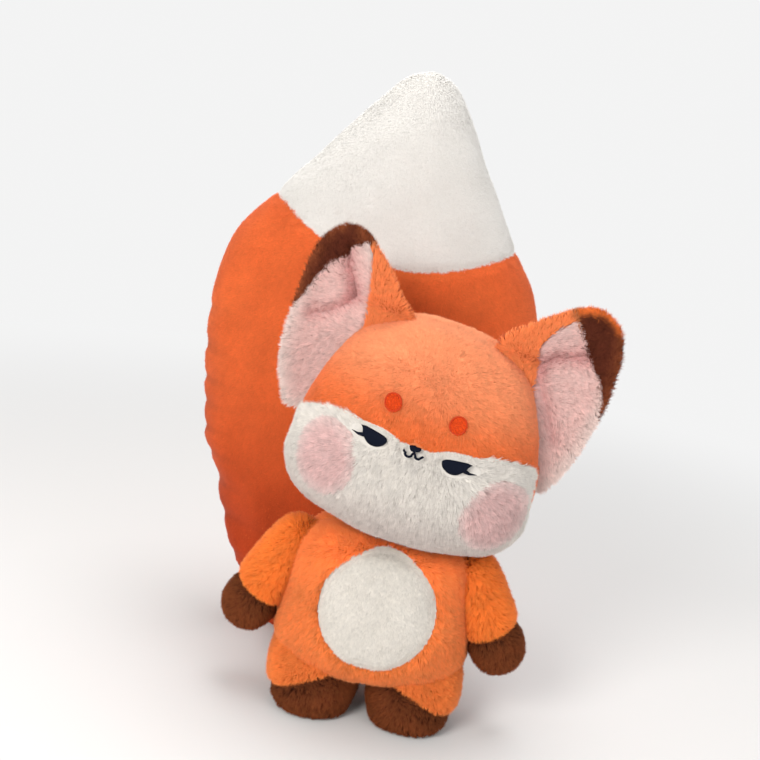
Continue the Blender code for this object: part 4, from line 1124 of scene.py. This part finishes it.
def make_camera():
    """The lens is 1.25 m from the fox's head and 15 degrees above it, and the camera is rolled."""
    distance, rise, roll = 1.25, math.radians(15.0), math.radians(10.0)
    aim, aim_px = Vector((0.015, 0.0, 0.295)), (421.0, 433.0)
    focal = IMAGE * 1250.0 / 760.0
    back = Vector((0.0, -math.cos(rise), math.sin(rise)))
    right = Vector((0.0, 0.0, 1.0)).cross(back).normalized()
    up = back.cross(right)
    rolled_right = right * math.cos(roll) + up * math.sin(roll)
    rolled_up = up * math.cos(roll) - right * math.sin(roll)
    axes = Matrix((rolled_right, rolled_up, back))
    wanted = Vector(((aim_px[0] - IMAGE / 2) / focal, -(aim_px[1] - IMAGE / 2) / focal, -1.0)).normalized()
    pan = Vector((0.0, 0.0, -1.0)).rotation_difference(wanted).to_matrix()
    world = (pan @ axes).transposed().to_4x4()
    world.translation = aim + back * distance + Vector(FOX_PLACE)
    camera = bpy.data.cameras.new("camera")
    camera.sensor_width = 36.0
    camera.lens = 36.0 * focal / IMAGE
    camera.clip_start, camera.clip_end = 0.05, 50.0
    obj = add_object("camera", camera)
    obj.matrix_world = world
    bpy.context.scene.camera = obj


BACKDROP = 0.90


def make_floor():
    """A pale floor that brightens into the backdrop away from the toy, so no horizon shows."""
    mat, shader, nodes, links = principled("floor", 0.9, 0.0)
    set_inputs(shader, {"Base Color": (0.82, 0.81, 0.80, 1.0)})
    glow = set_inputs(nodes.new("ShaderNodeEmission"), {"Color": (BACKDROP, BACKDROP, BACKDROP, 1.0)})
    place = nodes.new("ShaderNodeTexCoord")
    reach = nodes.new("ShaderNodeVectorMath")
    reach.operation = "LENGTH"
    fade = set_inputs(nodes.new("ShaderNodeMapRange"), {"From Min": 0.45, "From Max": 1.6})
    fade.interpolation_type = "SMOOTHSTEP"
    blend = nodes.new("ShaderNodeMixShader")
    links.new(place.outputs["Object"], reach.inputs[0])
    links.new(reach.outputs["Value"], fade.inputs["Value"])
    links.new(fade.outputs[0], blend.inputs[0])
    links.new(shader.outputs[0], blend.inputs[1])
    links.new(glow.outputs[0], blend.inputs[2])
    links.new(blend.outputs[0], nodes["Material Output"].inputs["Surface"])
    mesh = bpy.data.meshes.new("floor")
    mesh.from_pydata([(-8, -8, 0), (8, -8, 0), (8, 8, 0), (-8, 8, 0)], [], [(0, 1, 2, 3)])
    mesh.materials.append(mat)
    add_object("floor", mesh)


def area_light(name, place, size, power, colour=(1.0, 1.0, 1.0)):
    light = bpy.data.lights.new(name, "AREA")
    light.shape = "DISK"
    light.size = size
    light.energy = power
    light.color = colour
    obj = add_object(name, light)
    obj.location = Vector(place) + Vector(FOX_PLACE)
    obj.rotation_euler = (Vector((0.0, 0.0, 0.25)) - Vector(place)).to_track_quat("-Z", "Y").to_euler()


def make_light():
    world = bpy.data.worlds.new("studio")
    bpy.context.scene.world = world
    world.use_nodes = True
    nodes, links = world.node_tree.nodes, world.node_tree.links
    background = set_inputs(nodes["Background"], {"Color": (1.0, 1.0, 1.0, 1.0)})
    path = nodes.new("ShaderNodeLightPath")
    seen = nodes.new("ShaderNodeMath")
    seen.operation = "MAXIMUM"
    links.new(path.outputs["Is Camera Ray"], seen.inputs[0])
    links.new(path.outputs["Is Glossy Ray"], seen.inputs[1])
    strength = set_inputs(nodes.new("ShaderNodeMapRange"), {"To Min": 0.52, "To Max": BACKDROP})
    links.new(seen.outputs[0], strength.inputs["Value"])
    links.new(strength.outputs[0], background.inputs["Strength"])
    area_light("key", (-1.0, -1.8, 1.25), 1.0, 35.0, (1.0, 0.98, 0.95))
    area_light("fill", (1.6, -1.5, 0.7), 1.5, 10.0)
    area_light("top", (0.0, 0.4, 2.1), 1.4, 19.0)


bpy.context.scene.view_settings.view_transform = "Standard"
make_camera()
make_floor()
make_light()
make_head()
make_torso()
for SIDE, SIGN in SIDES:
    make_ear(SIDE, SIGN)
    make_arm(SIDE, SIGN)
    make_leg(SIDE, SIGN)
make_tail()
make_hidden_balls()
